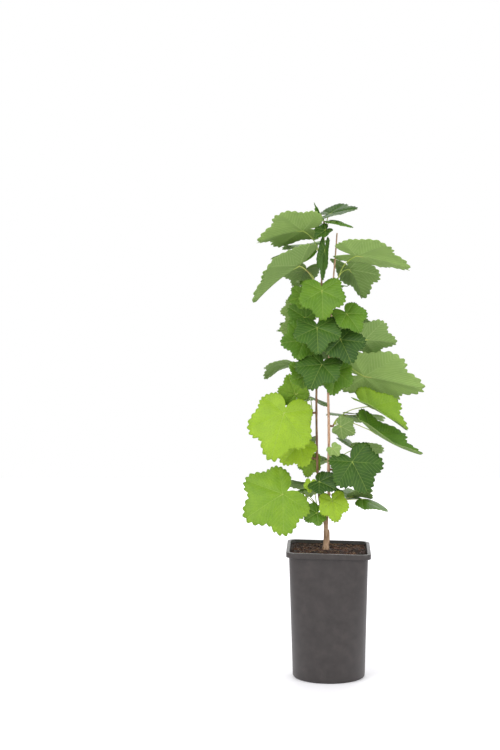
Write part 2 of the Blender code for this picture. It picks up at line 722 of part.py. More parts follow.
def clear_scene():
    for old in list(bpy.data.objects):
        bpy.data.objects.remove(old)


def main():
    clear_scene()
    build_pot()
    build_soil()
    limbs = [build_trunk(), build_stem("left_stem"), build_stem("right_stem")]
    leaves = all_leaves(limbs)
    for mass in MASSES:
        build_mass(mass, leaves[mass.name])


if __name__ == "__main__":
    main()
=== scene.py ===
"""Potted red currant bush: two leafy stems in a dark pot that turns from square to round."""

import logging
import math
import random
from dataclasses import dataclass
from enum import Enum
from typing import Any, NamedTuple

import bmesh
import bpy
from mathutils import Euler, Matrix, Vector, noise
from mathutils.bvhtree import BVHTree

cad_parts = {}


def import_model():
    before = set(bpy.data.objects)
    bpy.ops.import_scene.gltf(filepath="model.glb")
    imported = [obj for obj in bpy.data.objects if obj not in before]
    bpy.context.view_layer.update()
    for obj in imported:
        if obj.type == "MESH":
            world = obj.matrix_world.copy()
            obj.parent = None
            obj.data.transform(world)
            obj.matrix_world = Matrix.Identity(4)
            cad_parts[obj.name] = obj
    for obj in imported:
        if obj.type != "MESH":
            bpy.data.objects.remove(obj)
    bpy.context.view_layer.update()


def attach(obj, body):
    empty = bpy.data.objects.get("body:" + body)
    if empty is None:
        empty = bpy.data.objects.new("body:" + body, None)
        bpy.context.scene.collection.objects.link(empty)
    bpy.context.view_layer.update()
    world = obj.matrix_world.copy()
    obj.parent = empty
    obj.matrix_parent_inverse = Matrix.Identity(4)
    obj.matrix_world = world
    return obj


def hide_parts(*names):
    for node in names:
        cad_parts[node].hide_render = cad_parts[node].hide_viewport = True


GAP = 0.0003  # between two pieces that touch
MM = 0.001
FULL_TURN = 360
GOLDEN_ANGLE = 137.5  # from one bud up a stem to the next
LEVEL = Vector((0, 0, 1))
ROOT = "root"
VEIN_MAP = "veins"

log = logging.getLogger("currant_bush")

Mesh = bmesh.types.BMesh
Thing = bpy.types.Object
Look = bpy.types.Material


class Slot(Enum):
    """The material slots of the record."""

    PLASTIC = "charcoal_plastic"
    SOIL = "potting_soil"
    BARK = "currant_bark"
    LEAF = "currant_leaf"


class Shade(Enum):
    """How light a leaf is, 0 to 1: its own colour with painted light and painted shade."""

    DARK = 0.08
    MID = 0.38
    LIGHT = 0.66
    BRIGHT = 0.92


class Stem(Enum):
    """The two stems by their node names."""

    LEFT = "left_stem"
    RIGHT = "right_stem"


class Leaf(NamedTuple):
    """A leaf: where its stalk meets its blade, the blade's tip, and how the blade lies.

    faces is the bearing and the rise that its upper side faces. fold is how far each half turns
    up from flat, and droop how far the midrib bends, all in degrees.
    """

    base: tuple
    tip: tuple
    faces: tuple
    breadth: float = 1.0
    fold: float = 8.0
    droop: float = 20.0
    # how light the blade is painted: its own colour with painted light and painted shade
    shade: Shade = Shade.MID


class Mass(NamedTuple):
    """A spur on a stem with its leaves.

    fill holds the bearings of the leaves that the rule adds, and reach the lowest and highest
    point of the layer of the crown that they keep to.
    """

    name: str
    stem: Stem
    height: float
    bearing: float
    leaves: tuple
    fill: tuple
    reach: tuple


TRUNK_TOP = 0.2700
STEM_ROUTES = {
    Stem.LEFT: (
        (-0.008, 0.001, TRUNK_TOP + GAP), (-0.015, 0.0025, 0.296), (-0.018, 0.0035, 0.344),
        (-0.019, 0.004, 0.395), (-0.0195, 0.004, 0.46), (-0.018, 0.005, 0.53),
        (-0.0135, 0.005, 0.6), (-0.0095, 0.004, 0.67), (-0.007, 0.003, 0.715),
        (-0.0065, 0.002, 0.752),
    ),
    Stem.RIGHT: (
        (-0.0015, 0.0, TRUNK_TOP + GAP), (0.0005, 0.0, 0.302), (0.0005, 0.0015, 0.35),
        (0.001, 0.002, 0.41), (0.0, 0.003, 0.47), (0.002, 0.003, 0.54),
        (0.005, 0.003, 0.608), (0.0085, 0.004, 0.655), (0.012, 0.005, 0.695),
        (0.015, 0.0055, 0.733),
    ),
}
STEM_RADII = {  # at the foot and at the tip
    Stem.LEFT: (0.0021, 0.0013), Stem.RIGHT: (0.0026, 0.0011),
}

# Bearings are in degrees: 0 to the right, 90 to the back, 180 to the left, -90 to the front
# A leaf's shade holds its own colour, painted light where lit through and painted shade where
# shaded
MASSES = (
    Mass("foliage_low_left", Stem.LEFT, 0.284, 185, (
        Leaf((-0.075, -0.02, 0.306), (-0.139, -0.035, 0.265),
             (-95, 25), 1.05, -8, 15, Shade.LIGHT),
        Leaf((-0.019, -0.014, 0.274), (-0.04, -0.024, 0.262), (-100, 15), 1.1, 5, 20),
    ), (100, 150), (0.24, 0.35)),
    Mass("foliage_low_right", Stem.RIGHT, 0.281, -15, (
        Leaf((0.006, -0.012, 0.294), (0.013, -0.02, 0.258), (-80, 15), 0.9, 10, 20, Shade.BRIGHT),
        Leaf((0.013, 0.006, 0.303), (0.034, 0.004, 0.286), (-85, 35), 1.0, 5, 20),
        Leaf((0.02, 0.016, 0.302), (0.044, 0.024, 0.309), (-95, 86), 0.9, 5, 10, Shade.DARK),
    ), (60, 20), (0.24, 0.35)),
    Mass("foliage_low_front", Stem.LEFT, 0.322, -110, (
        Leaf((-0.015, -0.016, 0.326), (0.014, -0.034, 0.314), (-90, 35), 0.85, 5, 25, Shade.DARK),
        Leaf((-0.029, -0.008, 0.323), (-0.032, -0.018, 0.299),
             (-95, 10), 0.8, 8, 15, Shade.BRIGHT),
        Leaf((-0.022, -0.022, 0.361), (-0.021, -0.034, 0.315), (-140, 12), 0.9, 5, 25),
    ), (), (0.29, 0.37)),
    Mass("foliage_mid_left", Stem.LEFT, 0.438, 195, (
        Leaf((-0.072, -0.03, 0.441), (-0.094, -0.052, 0.362),
             (-90, 15), 0.85, -15, 20, Shade.BRIGHT),
        Leaf((-0.0295, -0.012, 0.449), (-0.083, -0.028, 0.47), (-105, 42), 0.7, 8, 25),
        Leaf((-0.029, -0.004, 0.422), (-0.028, -0.01, 0.394), (180, 0), 0.8, 15, 15, Shade.DARK),
    ), (100, 150), (0.35, 0.5)),
    Mass("foliage_left_inner", Stem.LEFT, 0.362, 190, (
        Leaf((-0.042, -0.014, 0.408), (-0.054, -0.022, 0.338),
             (-150, 8), 0.85, -20, 20, Shade.DARK),
        Leaf((-0.048, 0.006, 0.386), (-0.078, 0.002, 0.352), (-92, 20), 1.05, 8, 20, Shade.BRIGHT),
        Leaf((-0.03, 0.01, 0.36), (-0.036, 0.014, 0.328), (-90, 5), 0.8, 5, 10, Shade.LIGHT),
        Leaf((-0.029, -0.016, 0.386), (-0.024, -0.046, 0.367),
             (-95, 50), 1.0, -12, 30, Shade.DARK),
    ), (120, 160), (0.31, 0.43)),
    Mass("foliage_right_low", Stem.RIGHT, 0.344, 0, (
        Leaf((0.039, -0.015, 0.359), (0.065, -0.03, 0.308), (-85, 25), 1.0, 10, 20, Shade.DARK),
        Leaf((0.007, -0.014, 0.381), (0.027, -0.02, 0.358), (92, 15), 1.0, 5, 15, Shade.LIGHT),
    ), (50, 90), (0.3, 0.4)),
    Mass("foliage_right", Stem.RIGHT, 0.52, -5, (
        Leaf((0.06, 0.014, 0.497), (0.16, 0.004, 0.474), (92, 25), 0.6, 12, 20, Shade.LIGHT),
        Leaf((0.0605, 0.01, 0.558), (0.115, 0.024, 0.55), (90, 28), 0.8, 15, 20),
        Leaf((0.013, -0.02, 0.509), (0.006, -0.034, 0.468), (-88, 20), 0.9, 8, 25),
    ), (60, 100), (0.44, 0.6)),
    Mass("foliage_right_mid", Stem.RIGHT, 0.416, 5, (
        Leaf((0.0665, -0.005, 0.449), (0.13, -0.012, 0.408), (-62, 58), 0.6, 35, 15, Shade.LIGHT),
        Leaf((0.0705, -0.012, 0.41), (0.156, -0.02, 0.37), (-75, 72), 0.4, 30, -25),
        Leaf((0.0205, -0.004, 0.416), (0.049, -0.006, 0.401), (95, 20), 1.0, 5, 15),
    ), (70, 30), (0.36, 0.46)),
    Mass("foliage_left_upper", Stem.LEFT, 0.49, 170, (
        Leaf((-0.054, 0.005, 0.468), (-0.067, 0.002, 0.503), (-92, 25), 0.95, 5, 15, Shade.LIGHT),
        Leaf((-0.039, -0.02, 0.5), (-0.064, -0.028, 0.522), (-95, 30), 0.9, 5, 20),
        Leaf((-0.01, -0.03, 0.52), (-0.03, -0.052, 0.478), (-100, 30), 1.0, 10, 25, Shade.DARK),
    ), (90, 140), (0.44, 0.56)),
    Mass("foliage_left_high", Stem.LEFT, 0.566, 175, (
        Leaf((-0.039, -0.016, 0.559), (-0.086, -0.026, 0.553), (-92, 15), 1.05, 5, 20),
        Leaf((-0.037, 0.004, 0.594), (-0.066, 0.004, 0.613), (-92, 12), 1.1, 5, 15),
        Leaf((-0.048, 0.018, 0.607), (-0.08, 0.022, 0.602), (85, 20), 0.9, 5, 15, Shade.LIGHT),
        Leaf((-0.048, 0.016, 0.58), (-0.081, 0.012, 0.574), (88, 10), 0.9, 5, 15, Shade.LIGHT),
        Leaf((-0.018, -0.03, 0.58), (-0.016, -0.056, 0.536), (-90, 30), 1.0, 10, 25, Shade.DARK),
    ), (100, 140), (0.5, 0.64)),
    Mass("foliage_right_inner", Stem.RIGHT, 0.588, 10, (
        Leaf((0.03, -0.018, 0.602), (0.052, -0.034, 0.57), (-80, 35), 0.9, 10, 25),
        Leaf((0.02, -0.026, 0.56), (0.038, -0.046, 0.52), (-80, 30), 1.0, 10, 25, Shade.DARK),
    ), (70, 110), (0.5, 0.64)),
    Mass("foliage_left_top", Stem.LEFT, 0.64, 180, (
        Leaf((-0.047, -0.008, 0.68), (-0.121, -0.024, 0.617), (168, 48), 0.55, 38, 20),
        Leaf((-0.04, -0.002, 0.63), (-0.066, -0.008, 0.622), (-92, 20), 1.0, 5, 15),
        Leaf((-0.01, -0.024, 0.64), (-0.008, -0.042, 0.59), (-90, 25), 0.95, 10, 25),
    ), (110, 70), (0.58, 0.7)),
    Mass("foliage_right_high", Stem.RIGHT, 0.655, 0, (
        Leaf((0.046, -0.028, 0.696), (0.149, -0.034, 0.667), (88, 60), 0.6, 12, 20, Shade.LIGHT),
        Leaf((0.016, -0.008, 0.668), (0.04, -0.026, 0.658), (-80, 60), 0.9, 0, 40, Shade.DARK),
    ), (60, 110), (0.6, 0.73)),
    Mass("foliage_top_left", Stem.LEFT, 0.7, 170, (
        Leaf((-0.041, -0.008, 0.737), (-0.117, -0.024, 0.718), (92, 60), 0.9, 8, 20, Shade.LIGHT),
        Leaf((-0.017, -0.004, 0.714), (-0.083, -0.02, 0.69), (95, 66), 0.6, 5, 20),
        Leaf((-0.019, -0.016, 0.7), (-0.025, -0.022, 0.648), (170, -8), 0.4, 20, 15, Shade.DARK),
        Leaf((-0.005, -0.014, 0.706), (-0.008, -0.021, 0.645), (-120, 0), 0.3, 20, 10, Shade.DARK),
    ), (110, 150), (0.64, 0.77)),
    Mass("foliage_top", Stem.LEFT, 0.738, 60, (
        Leaf((-0.011, 0.004, 0.762), (-0.0225, 0.006, 0.784), (-150, 30), 0.28, 40, 5),
        Leaf((0.003, -0.002, 0.764), (0.05, -0.01, 0.771), (-92, 68), 0.75, 6, 15, Shade.DARK),
        Leaf((0.008, -0.02, 0.751), (0.069, -0.034, 0.731), (-95, 72), 0.36, -5, 15),
        Leaf((-0.002, 0.012, 0.755), (0.007, 0.062, 0.724), (88, 52), 0.85, 5, 25, Shade.LIGHT),
        Leaf((-0.004, -0.014, 0.738), (-0.022, -0.02, 0.724), (-100, 40), 0.8, 10, 15, Shade.DARK),
    ), (), (0.7, 0.79)),
)


def unit(bearing: float, rise: float = 0.0) -> Vector:
    """The unit vector along a bearing and a rise, both in degrees."""
    b, r = math.radians(bearing), math.radians(rise)
    return Vector((math.cos(b) * math.cos(r), math.sin(b) * math.cos(r), math.sin(r)))


def mix(a: float, b: float, share: float) -> float:
    """The value a share of the way from a to b."""
    return a + (b - a) * share


def clamp(value: float) -> float:
    """The value held between 0 and 1."""
    return min(max(value, 0.0), 1.0)


def smooth_path(points: tuple, steps: int) -> list[Vector]:
    """Points along a Catmull-Rom curve.

    Args:
        points: the points to pass through.
        steps: how many pieces each stretch is cut into.

    Returns:
        The points of the curve, both ends among them.
    """
    knots = [Vector(p) for p in points]
    knots = [knots[0] * 2 - knots[1], *knots, knots[-1] * 2 - knots[-2]]
    path = []
    for a, b, c, d in zip(knots, knots[1:], knots[2:], knots[3:]):
        for step in range(steps):
            t = step / steps
            path.append(
                0.5 * (2 * b + (c - a) * t + (2 * a - 5 * b + 4 * c - d) * t**2
                       + (3 * b - a - 3 * c + d) * t**3)
            )
    return [*path, knots[-2]]


def stem_radius(which: Stem, z: float) -> float:
    """Radius of a stem at a height."""
    route = STEM_ROUTES[which]
    return mix(*STEM_RADII[which], (z - route[0][2]) / (route[-1][2] - route[0][2]))


# Meshes


def bridge(mesh: Mesh, low: list, high: list) -> None:
    """Joins two rings of vertices by a band of faces.

    Args:
        mesh: the mesh that holds them.
        low: the first ring.
        high: the ring further along, with as many vertices.
    """
    for i, vertex in enumerate(low):
        j = (i + 1) % len(low)
        mesh.faces.new((vertex, low[j], high[j], high[i]))


def cap(mesh: Mesh, ring: list, centre: Vector, facing_back: bool) -> None:
    """Closes a ring by a fan.

    Args:
        mesh: the mesh that holds it.
        ring: the ring.
        centre: the middle of the fan.
        facing_back: whether the fan faces against the ring's turn.
    """
    middle = mesh.verts.new(centre)
    for i, vertex in enumerate(ring):
        after = ring[(i + 1) % len(ring)]
        mesh.faces.new((middle, after, vertex) if facing_back else (middle, vertex, after))


BARK_RIDGES = Vector((2.2, 2.2, 90))  # how fast the relief changes round a limb and along it


def add_tube(
    mesh: Mesh, path: list, radii: list, sides: int, flat_ends: bool = False, relief: float = 0.0
) -> None:
    """Adds a closed tapering tube.

    Args:
        mesh: the mesh it goes into.
        path: the points of its axis.
        radii: the radius at each point.
        sides: the sides of a section.
        flat_ends: whether both end sections lie level.
        relief: how far the bark stands in and out, as a share of the radius.
    """
    across = (path[1] - path[0]).normalized().orthogonal().normalized()
    rings = []
    for i, point in enumerate(path):
        along = (path[min(i + 1, len(path) - 1)] - path[max(i - 1, 0)]).normalized()
        if flat_ends and i in (0, len(path) - 1):
            along = LEVEL
        across = (across - along * across.dot(along)).normalized()
        beside = along.cross(across)
        ring = []
        for k in range(sides):
            angle = 2 * math.pi * k / sides
            out = across * math.cos(angle) + beside * math.sin(angle)
            spot = Vector((out.x, out.y, point.z)) * BARK_RIDGES
            swell = 1 + relief * noise.noise(spot)
            ring.append(mesh.verts.new(point + out * radii[i] * swell))
        rings.append(ring)
    for low, high in zip(rings, rings[1:]):
        bridge(mesh, low, high)
    cap(mesh, rings[0], path[0], True)
    cap(mesh, rings[-1], path[-1], False)


def make_piece(name: str, mesh: Mesh, look: Look) -> Thing:
    """Turns a bmesh into a smooth object.

    Args:
        name: the piece's name.
        mesh: its mesh, which is freed.
        look: its material.

    Returns:
        The object, at the origin.
    """
    data = bpy.data.meshes.new(name)
    mesh.to_mesh(data)
    mesh.free()
    data.materials.append(look)
    data.shade_smooth()
    piece = bpy.data.objects.new(name, data)
    bpy.context.scene.collection.objects.link(piece)
    return piece


def settle(piece: Thing, modifier: bpy.types.Modifier) -> None:
    """Gives a piece the mesh that its modifier makes, and drops the modifier.

    Args:
        piece: the piece.
        modifier: its modifier.
    """
    graph = bpy.context.evaluated_depsgraph_get()
    made = bpy.data.meshes.new_from_object(piece.evaluated_get(graph))
    piece.modifiers.remove(modifier)
    piece.data = made


def hand_over(piece: Thing, slot: Slot, *nodes: str) -> None:
    """Makes a piece ride on the body and hides the solids that it stands for.

    Args:
        piece: the piece.
        slot: not used.
        nodes: the solids that it stands for.
    """
    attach(piece, ROOT)
    if nodes:
        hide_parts(*nodes)
    log.info("%s: %d faces", piece.name, len(piece.data.polygons))


# Finishes


def linear(code: str) -> tuple[float, float, float, float]:
    """Turns an sRGB hex colour into a linear one.

    Args:
        code: the colour, as in #A0B0C0.

    Returns:
        Red, green, blue and an alpha of 1.
    """
    parts = [int(code[i:i + 2], 16) / 255 for i in (1, 3, 5)]
    red, green, blue = (
        c / 12.92 if c <= 0.04045 else ((c + 0.055) / 1.055) ** 2.4 for c in parts
    )
    return (red, green, blue, 1.0)


def add_node(
    tree: bpy.types.NodeTree, kind: str, inputs: dict | None = None, out: int | str | None = 0,
    stops: tuple = (), **settings: Any
) -> Any:
    """Adds a node with its settings and links.

    Args:
        tree: the node tree.
        kind: the node's type.
        inputs: for each input, the socket that feeds it, a hex colour or a value.
        out: the output to return, or None for the node itself.
        stops: for a ramp, pairs of a place and a hex colour.
        settings: the node's properties.

    Returns:
        The output's socket, or the node.
    """
    node = tree.nodes.new(kind)
    for key, value in settings.items():
        setattr(node, key, value)
    for place, value in (inputs or {}).items():
        if isinstance(value, bpy.types.NodeSocket):
            tree.links.new(value, node.inputs[place])
        else:
            node.inputs[place].default_value = linear(value) if isinstance(value, str) else value
    for _ in stops[2:]:
        node.color_ramp.elements.new(0.5)
    for i, (place, code) in enumerate(stops):
        node.color_ramp.elements[i].position = place
        node.color_ramp.elements[i].color = linear(code)
    return node if out is None else node.outputs[out]


class Sketch:
    """A material that is being made. Each method adds a node and returns its output."""

    def __init__(self, name: str) -> None:
        """Starts an empty material.

        Args:
            name: the material's name.
        """
        self.material = bpy.data.materials.new(name)
        self.material.use_nodes = True
        self.tree = self.material.node_tree
        self.tree.nodes.clear()
        self.where = self.add("ShaderNodeTexCoord", out="Object")

    def add(self, kind: str, inputs: dict | None = None, **rest: Any) -> Any:
        """Adds any node to the material's own tree."""
        return add_node(self.tree, kind, inputs, **rest)

    def maths(self, operation: str, *values: Any, **settings: Any) -> Any:
        """A step of arithmetic on sockets and numbers."""
        return self.add("ShaderNodeMath", dict(enumerate(values)), operation=operation, **settings)

    def span(self, value: Any, low: Any, high: Any, first: float = 0, last: float = 1) -> Any:
        """A number that runs from low to high while a value runs from first to last."""
        return self.add("ShaderNodeMapRange", {0: value, 1: first, 2: last, 3: low, 4: high})

    def blend(self, share: Any, first: Any, second: Any) -> Any:
        """The mix of two colours by a share."""
        return self.add("ShaderNodeMix", {0: share, 6: first, 7: second}, out=2, data_type="RGBA")

    def tint(self, colour: Any, share: Any, code: str, strength: float) -> Any:
        """A colour with another over it, as strong as a share of the strength."""
        return self.blend(self.maths("MULTIPLY", share, strength), colour, code)

    def ramp(self, share: Any, stops: tuple) -> Any:
        """The colour of a ramp at a share."""
        return self.add("ShaderNodeValToRGB", {0: share}, stops=stops)

    def noise(self, scale: float, detail: float = 2.0, **more: Any) -> Any:
        """A noise over the object."""
        inputs = {"Vector": self.where, "Scale": scale, "Detail": detail, **more}
        return self.add("ShaderNodeTexNoise", inputs)

    def bump(self, height: Any, strength: float, distance: float) -> Any:
        """A normal that follows a height."""
        inputs = {"Height": height, "Strength": strength, "Distance": distance}
        return self.add("ShaderNodeBump", inputs)

    def skin(self, colour: Any, roughness: Any, **more: Any) -> Any:
        """A Principled shader."""
        inputs = {"Base Color": colour, "Roughness": roughness, **more}
        return self.add("ShaderNodeBsdfPrincipled", inputs)

    def finish(self, surface: bpy.types.NodeSocket) -> Look:
        """Joins the last shader to the output and returns the material."""
        self.add("ShaderNodeOutputMaterial", {"Surface": surface}, out=None)
        return self.material


@dataclass(frozen=True)
class LeafFinish:
    """Living leaf: a soft waxy sheen above, pale and matt below, light showing through."""

    vein_reach: float = 0.715 * MM  # from the middle of a main vein to its edge
    side_spacing: float = 7.0 * MM
    side_slant: float = 1.1
    side_width: float = 0.085  # of the spacing, to one side
    side_strength: float = 0.62
    pucker: float = 3.0 * MM
    pucker_height: float = 0.35  # of a vein's depth
    blotches: float = 60.0
    blotch_strength: float = 0.15
    upper: tuple = ((0.0, "#34571B"), (0.35, "#56811F"), (0.65, "#7FA62B"), (1.0, "#A9CB30"))
    lower: tuple = ((0.0, "#6F8A4E"), (0.5, "#86A35A"), (1.0, "#A9C56A"))
    furrow: tuple = ("#2F5218", 0.18)  # colour and strength
    vein_above: tuple = ("#B4D06A", 0.42)
    vein_below: tuple = ("#BFD68A", 0.75)
    relief: float = 0.7 * MM
    matt: tuple = (0.46, 0.74)  # above and below
    sheen: float = 0.42
    see_through: float = 0.26

    def material(self) -> Look:
        """Makes the material from the vein map and the tone and under attributes.

        Returns:
            The material.
        """
        s = Sketch("currant_leaf_blade")
        tone_and_light, under = (s.add("ShaderNodeAttribute", out="Fac", attribute_name=name)
                       for name in ("tone_and_light", "under"))
        veins = self.veins(s)
        net = s.add("ShaderNodeTexVoronoi", {"Vector": s.where, "Scale": 1 / self.pucker},
                    out="Distance", feature="DISTANCE_TO_EDGE")
        cells = s.maths("MULTIPLY", net, 3.0, use_clamp=True)
        most = self.blotch_strength
        # the per-leaf lightness holds painted light and painted shade besides the leaf's own
        # colour
        varied = s.maths("ADD", tone_and_light, s.span(s.noise(self.blotches, 4.0), -most, most))
        above = s.tint(s.ramp(varied, self.upper), cells, *self.furrow)
        above = s.tint(above, veins, *self.vein_above)
        below = s.tint(s.ramp(varied, self.lower), veins, *self.vein_below)
        colour = s.blend(under, above, below)
        between = s.maths("SUBTRACT", 1.0, veins)
        height = s.maths("MULTIPLY_ADD", cells, self.pucker_height, between)
        bump = s.bump(height, 0.55, self.relief)
        skin = s.skin(colour, s.span(under, *self.matt), Normal=bump, IOR=1.42,
                      **{"Specular IOR Level": self.sheen})
        through = s.add("ShaderNodeBsdfTranslucent", {"Color": colour, "Normal": bump})
        return s.finish(s.add("ShaderNodeMixShader", {0: self.see_through, 1: skin, 2: through}))

    def veins(self, s: Sketch) -> Any:
        """The net of veins.

        Args:
            s: the material.

        Returns:
            A socket that is 1 on a main vein, less on a side vein and 0 between them.
        """
        spot = s.add("ShaderNodeUVMap", uv_map=VEIN_MAP)
        run, off = s.add("ShaderNodeSeparateXYZ", {0: spot}, out=None).outputs[:2]
        main = s.span(off, 1.0, 0.0, last=self.vein_reach)
        slanted = s.maths("MULTIPLY_ADD", off, -self.side_slant, run)
        wave = s.maths("PINGPONG", s.maths("DIVIDE", slanted, self.side_spacing), 0.5)
        side = s.span(wave, self.side_strength, 0.0, last=self.side_width)
        return s.maths("MAXIMUM", main, side)


@dataclass(frozen=True)
class StalkFinish:
    """Young leaf stalk: smooth and yellow-green, with a little red in places."""

    stops: tuple = ((0.30, "#8FA63F"), (0.55, "#A9B858"), (0.75, "#A8905A"))
    patches: float = 45.0

    def material(self) -> Look:
        """The stalk's material."""
        s = Sketch("green_leaf_stalk")
        return s.finish(s.skin(s.ramp(s.noise(self.patches), self.stops), 0.5, IOR=1.42))


@dataclass(frozen=True)
class BarkFinish:
    """Currant bark: thin skin that peels in long flakes and shows darker wood under them."""

    name: str
    skin: str
    shadow: str
    pale: str
    flake: float = 2.5 * MM
    stretch: tuple = (1.0, 1.0, 0.2)  # flakes are five times as long as wide
    specks: float = 420.0
    relief: float = 0.6 * MM

    def material(self) -> Look:
        """Makes the bark's material.

        Returns:
            The material.
        """
        s = Sketch(self.name)
        long = s.add("ShaderNodeMapping", {"Vector": s.where, "Scale": self.stretch})
        flakes = s.noise(1 / self.flake, 6.0, Vector=long, Roughness=0.62)
        colour = s.ramp(flakes, ((0.30, self.shadow), (0.48, self.skin), (0.70, self.pale)))
        speck = s.add("ShaderNodeTexVoronoi", {"Vector": s.where, "Scale": self.specks},
                      out="Distance")
        dots = s.maths("MULTIPLY_ADD", speck, -2.4, 0.55, use_clamp=True)
        colour = s.blend(dots, colour, self.shadow)
        return s.finish(s.skin(colour, 0.78, IOR=1.45, Normal=s.bump(flakes, 0.8, self.relief)))


@dataclass(frozen=True)
class PlasticFinish:
    """Moulded recycled polypropylene: charcoal with a soft sheen, scuffs and dry soil dust."""

    grain: float = 0.9 * MM
    scuff: float = 14 * MM
    stops: tuple = ((0.30, "#2A2524"), (0.55, "#322D2C"), (0.75, "#3A3332"))
    dust: str = "#6E645A"
    dust_levels: tuple = (0.10, 0.60)  # least below the band, most at the rim
    dust_band: tuple = (0.200, 0.200 + 1 / 60)
    dust_grains: tuple = (0.56, 0.56 + 1 / 3)
    gloss: tuple = (0.36, 0.52)  # roughness where it is smooth and where it is scuffed
    relief: float = 0.3 * MM

    def material(self) -> Look:
        """Makes the pot's material.

        Returns:
            The material.
        """
        s = Sketch("moulded_charcoal_plastic")
        fine, broad = s.noise(1 / self.grain, 3.0), s.noise(1 / self.scuff, 5.0)
        height = s.add("ShaderNodeSeparateXYZ", {0: s.where}, out=2)
        amount = s.span(height, *self.dust_levels, *self.dust_band)
        dusty = s.maths("MULTIPLY", s.span(fine, 0, 1, *self.dust_grains), amount)
        colour = s.blend(dusty, s.ramp(broad, self.stops), self.dust)
        return s.finish(s.skin(colour, s.span(broad, *self.gloss), IOR=1.49,
                               Normal=s.bump(fine, 0.18, self.relief)))


@dataclass(frozen=True)
class SoilFinish:
    """Moist peat: dark crumbs with reddish fibres, quite matt."""

    crumb: float = 2.2 * MM
    patches: float = 70.0
    stops: tuple = ((0.32, "#1E130E"), (0.50, "#38231A"), (0.68, "#63402B"))
    shadow: tuple = ("#24160F", 0.35)  # colour and strength
    relief: float = 1.2 * MM

    def material(self) -> Look:
        """Makes the soil's material.

        Returns:
            The material.
        """
        s = Sketch("moist_peat")
        grains = s.noise(1 / self.crumb, 4.0)
        colour = s.tint(s.ramp(s.noise(self.patches, 5.0), self.stops), grains, *self.shadow)
        return s.finish(s.skin(colour, 0.93, Normal=s.bump(grains, 0.9, self.relief)))


# The pot and what it holds


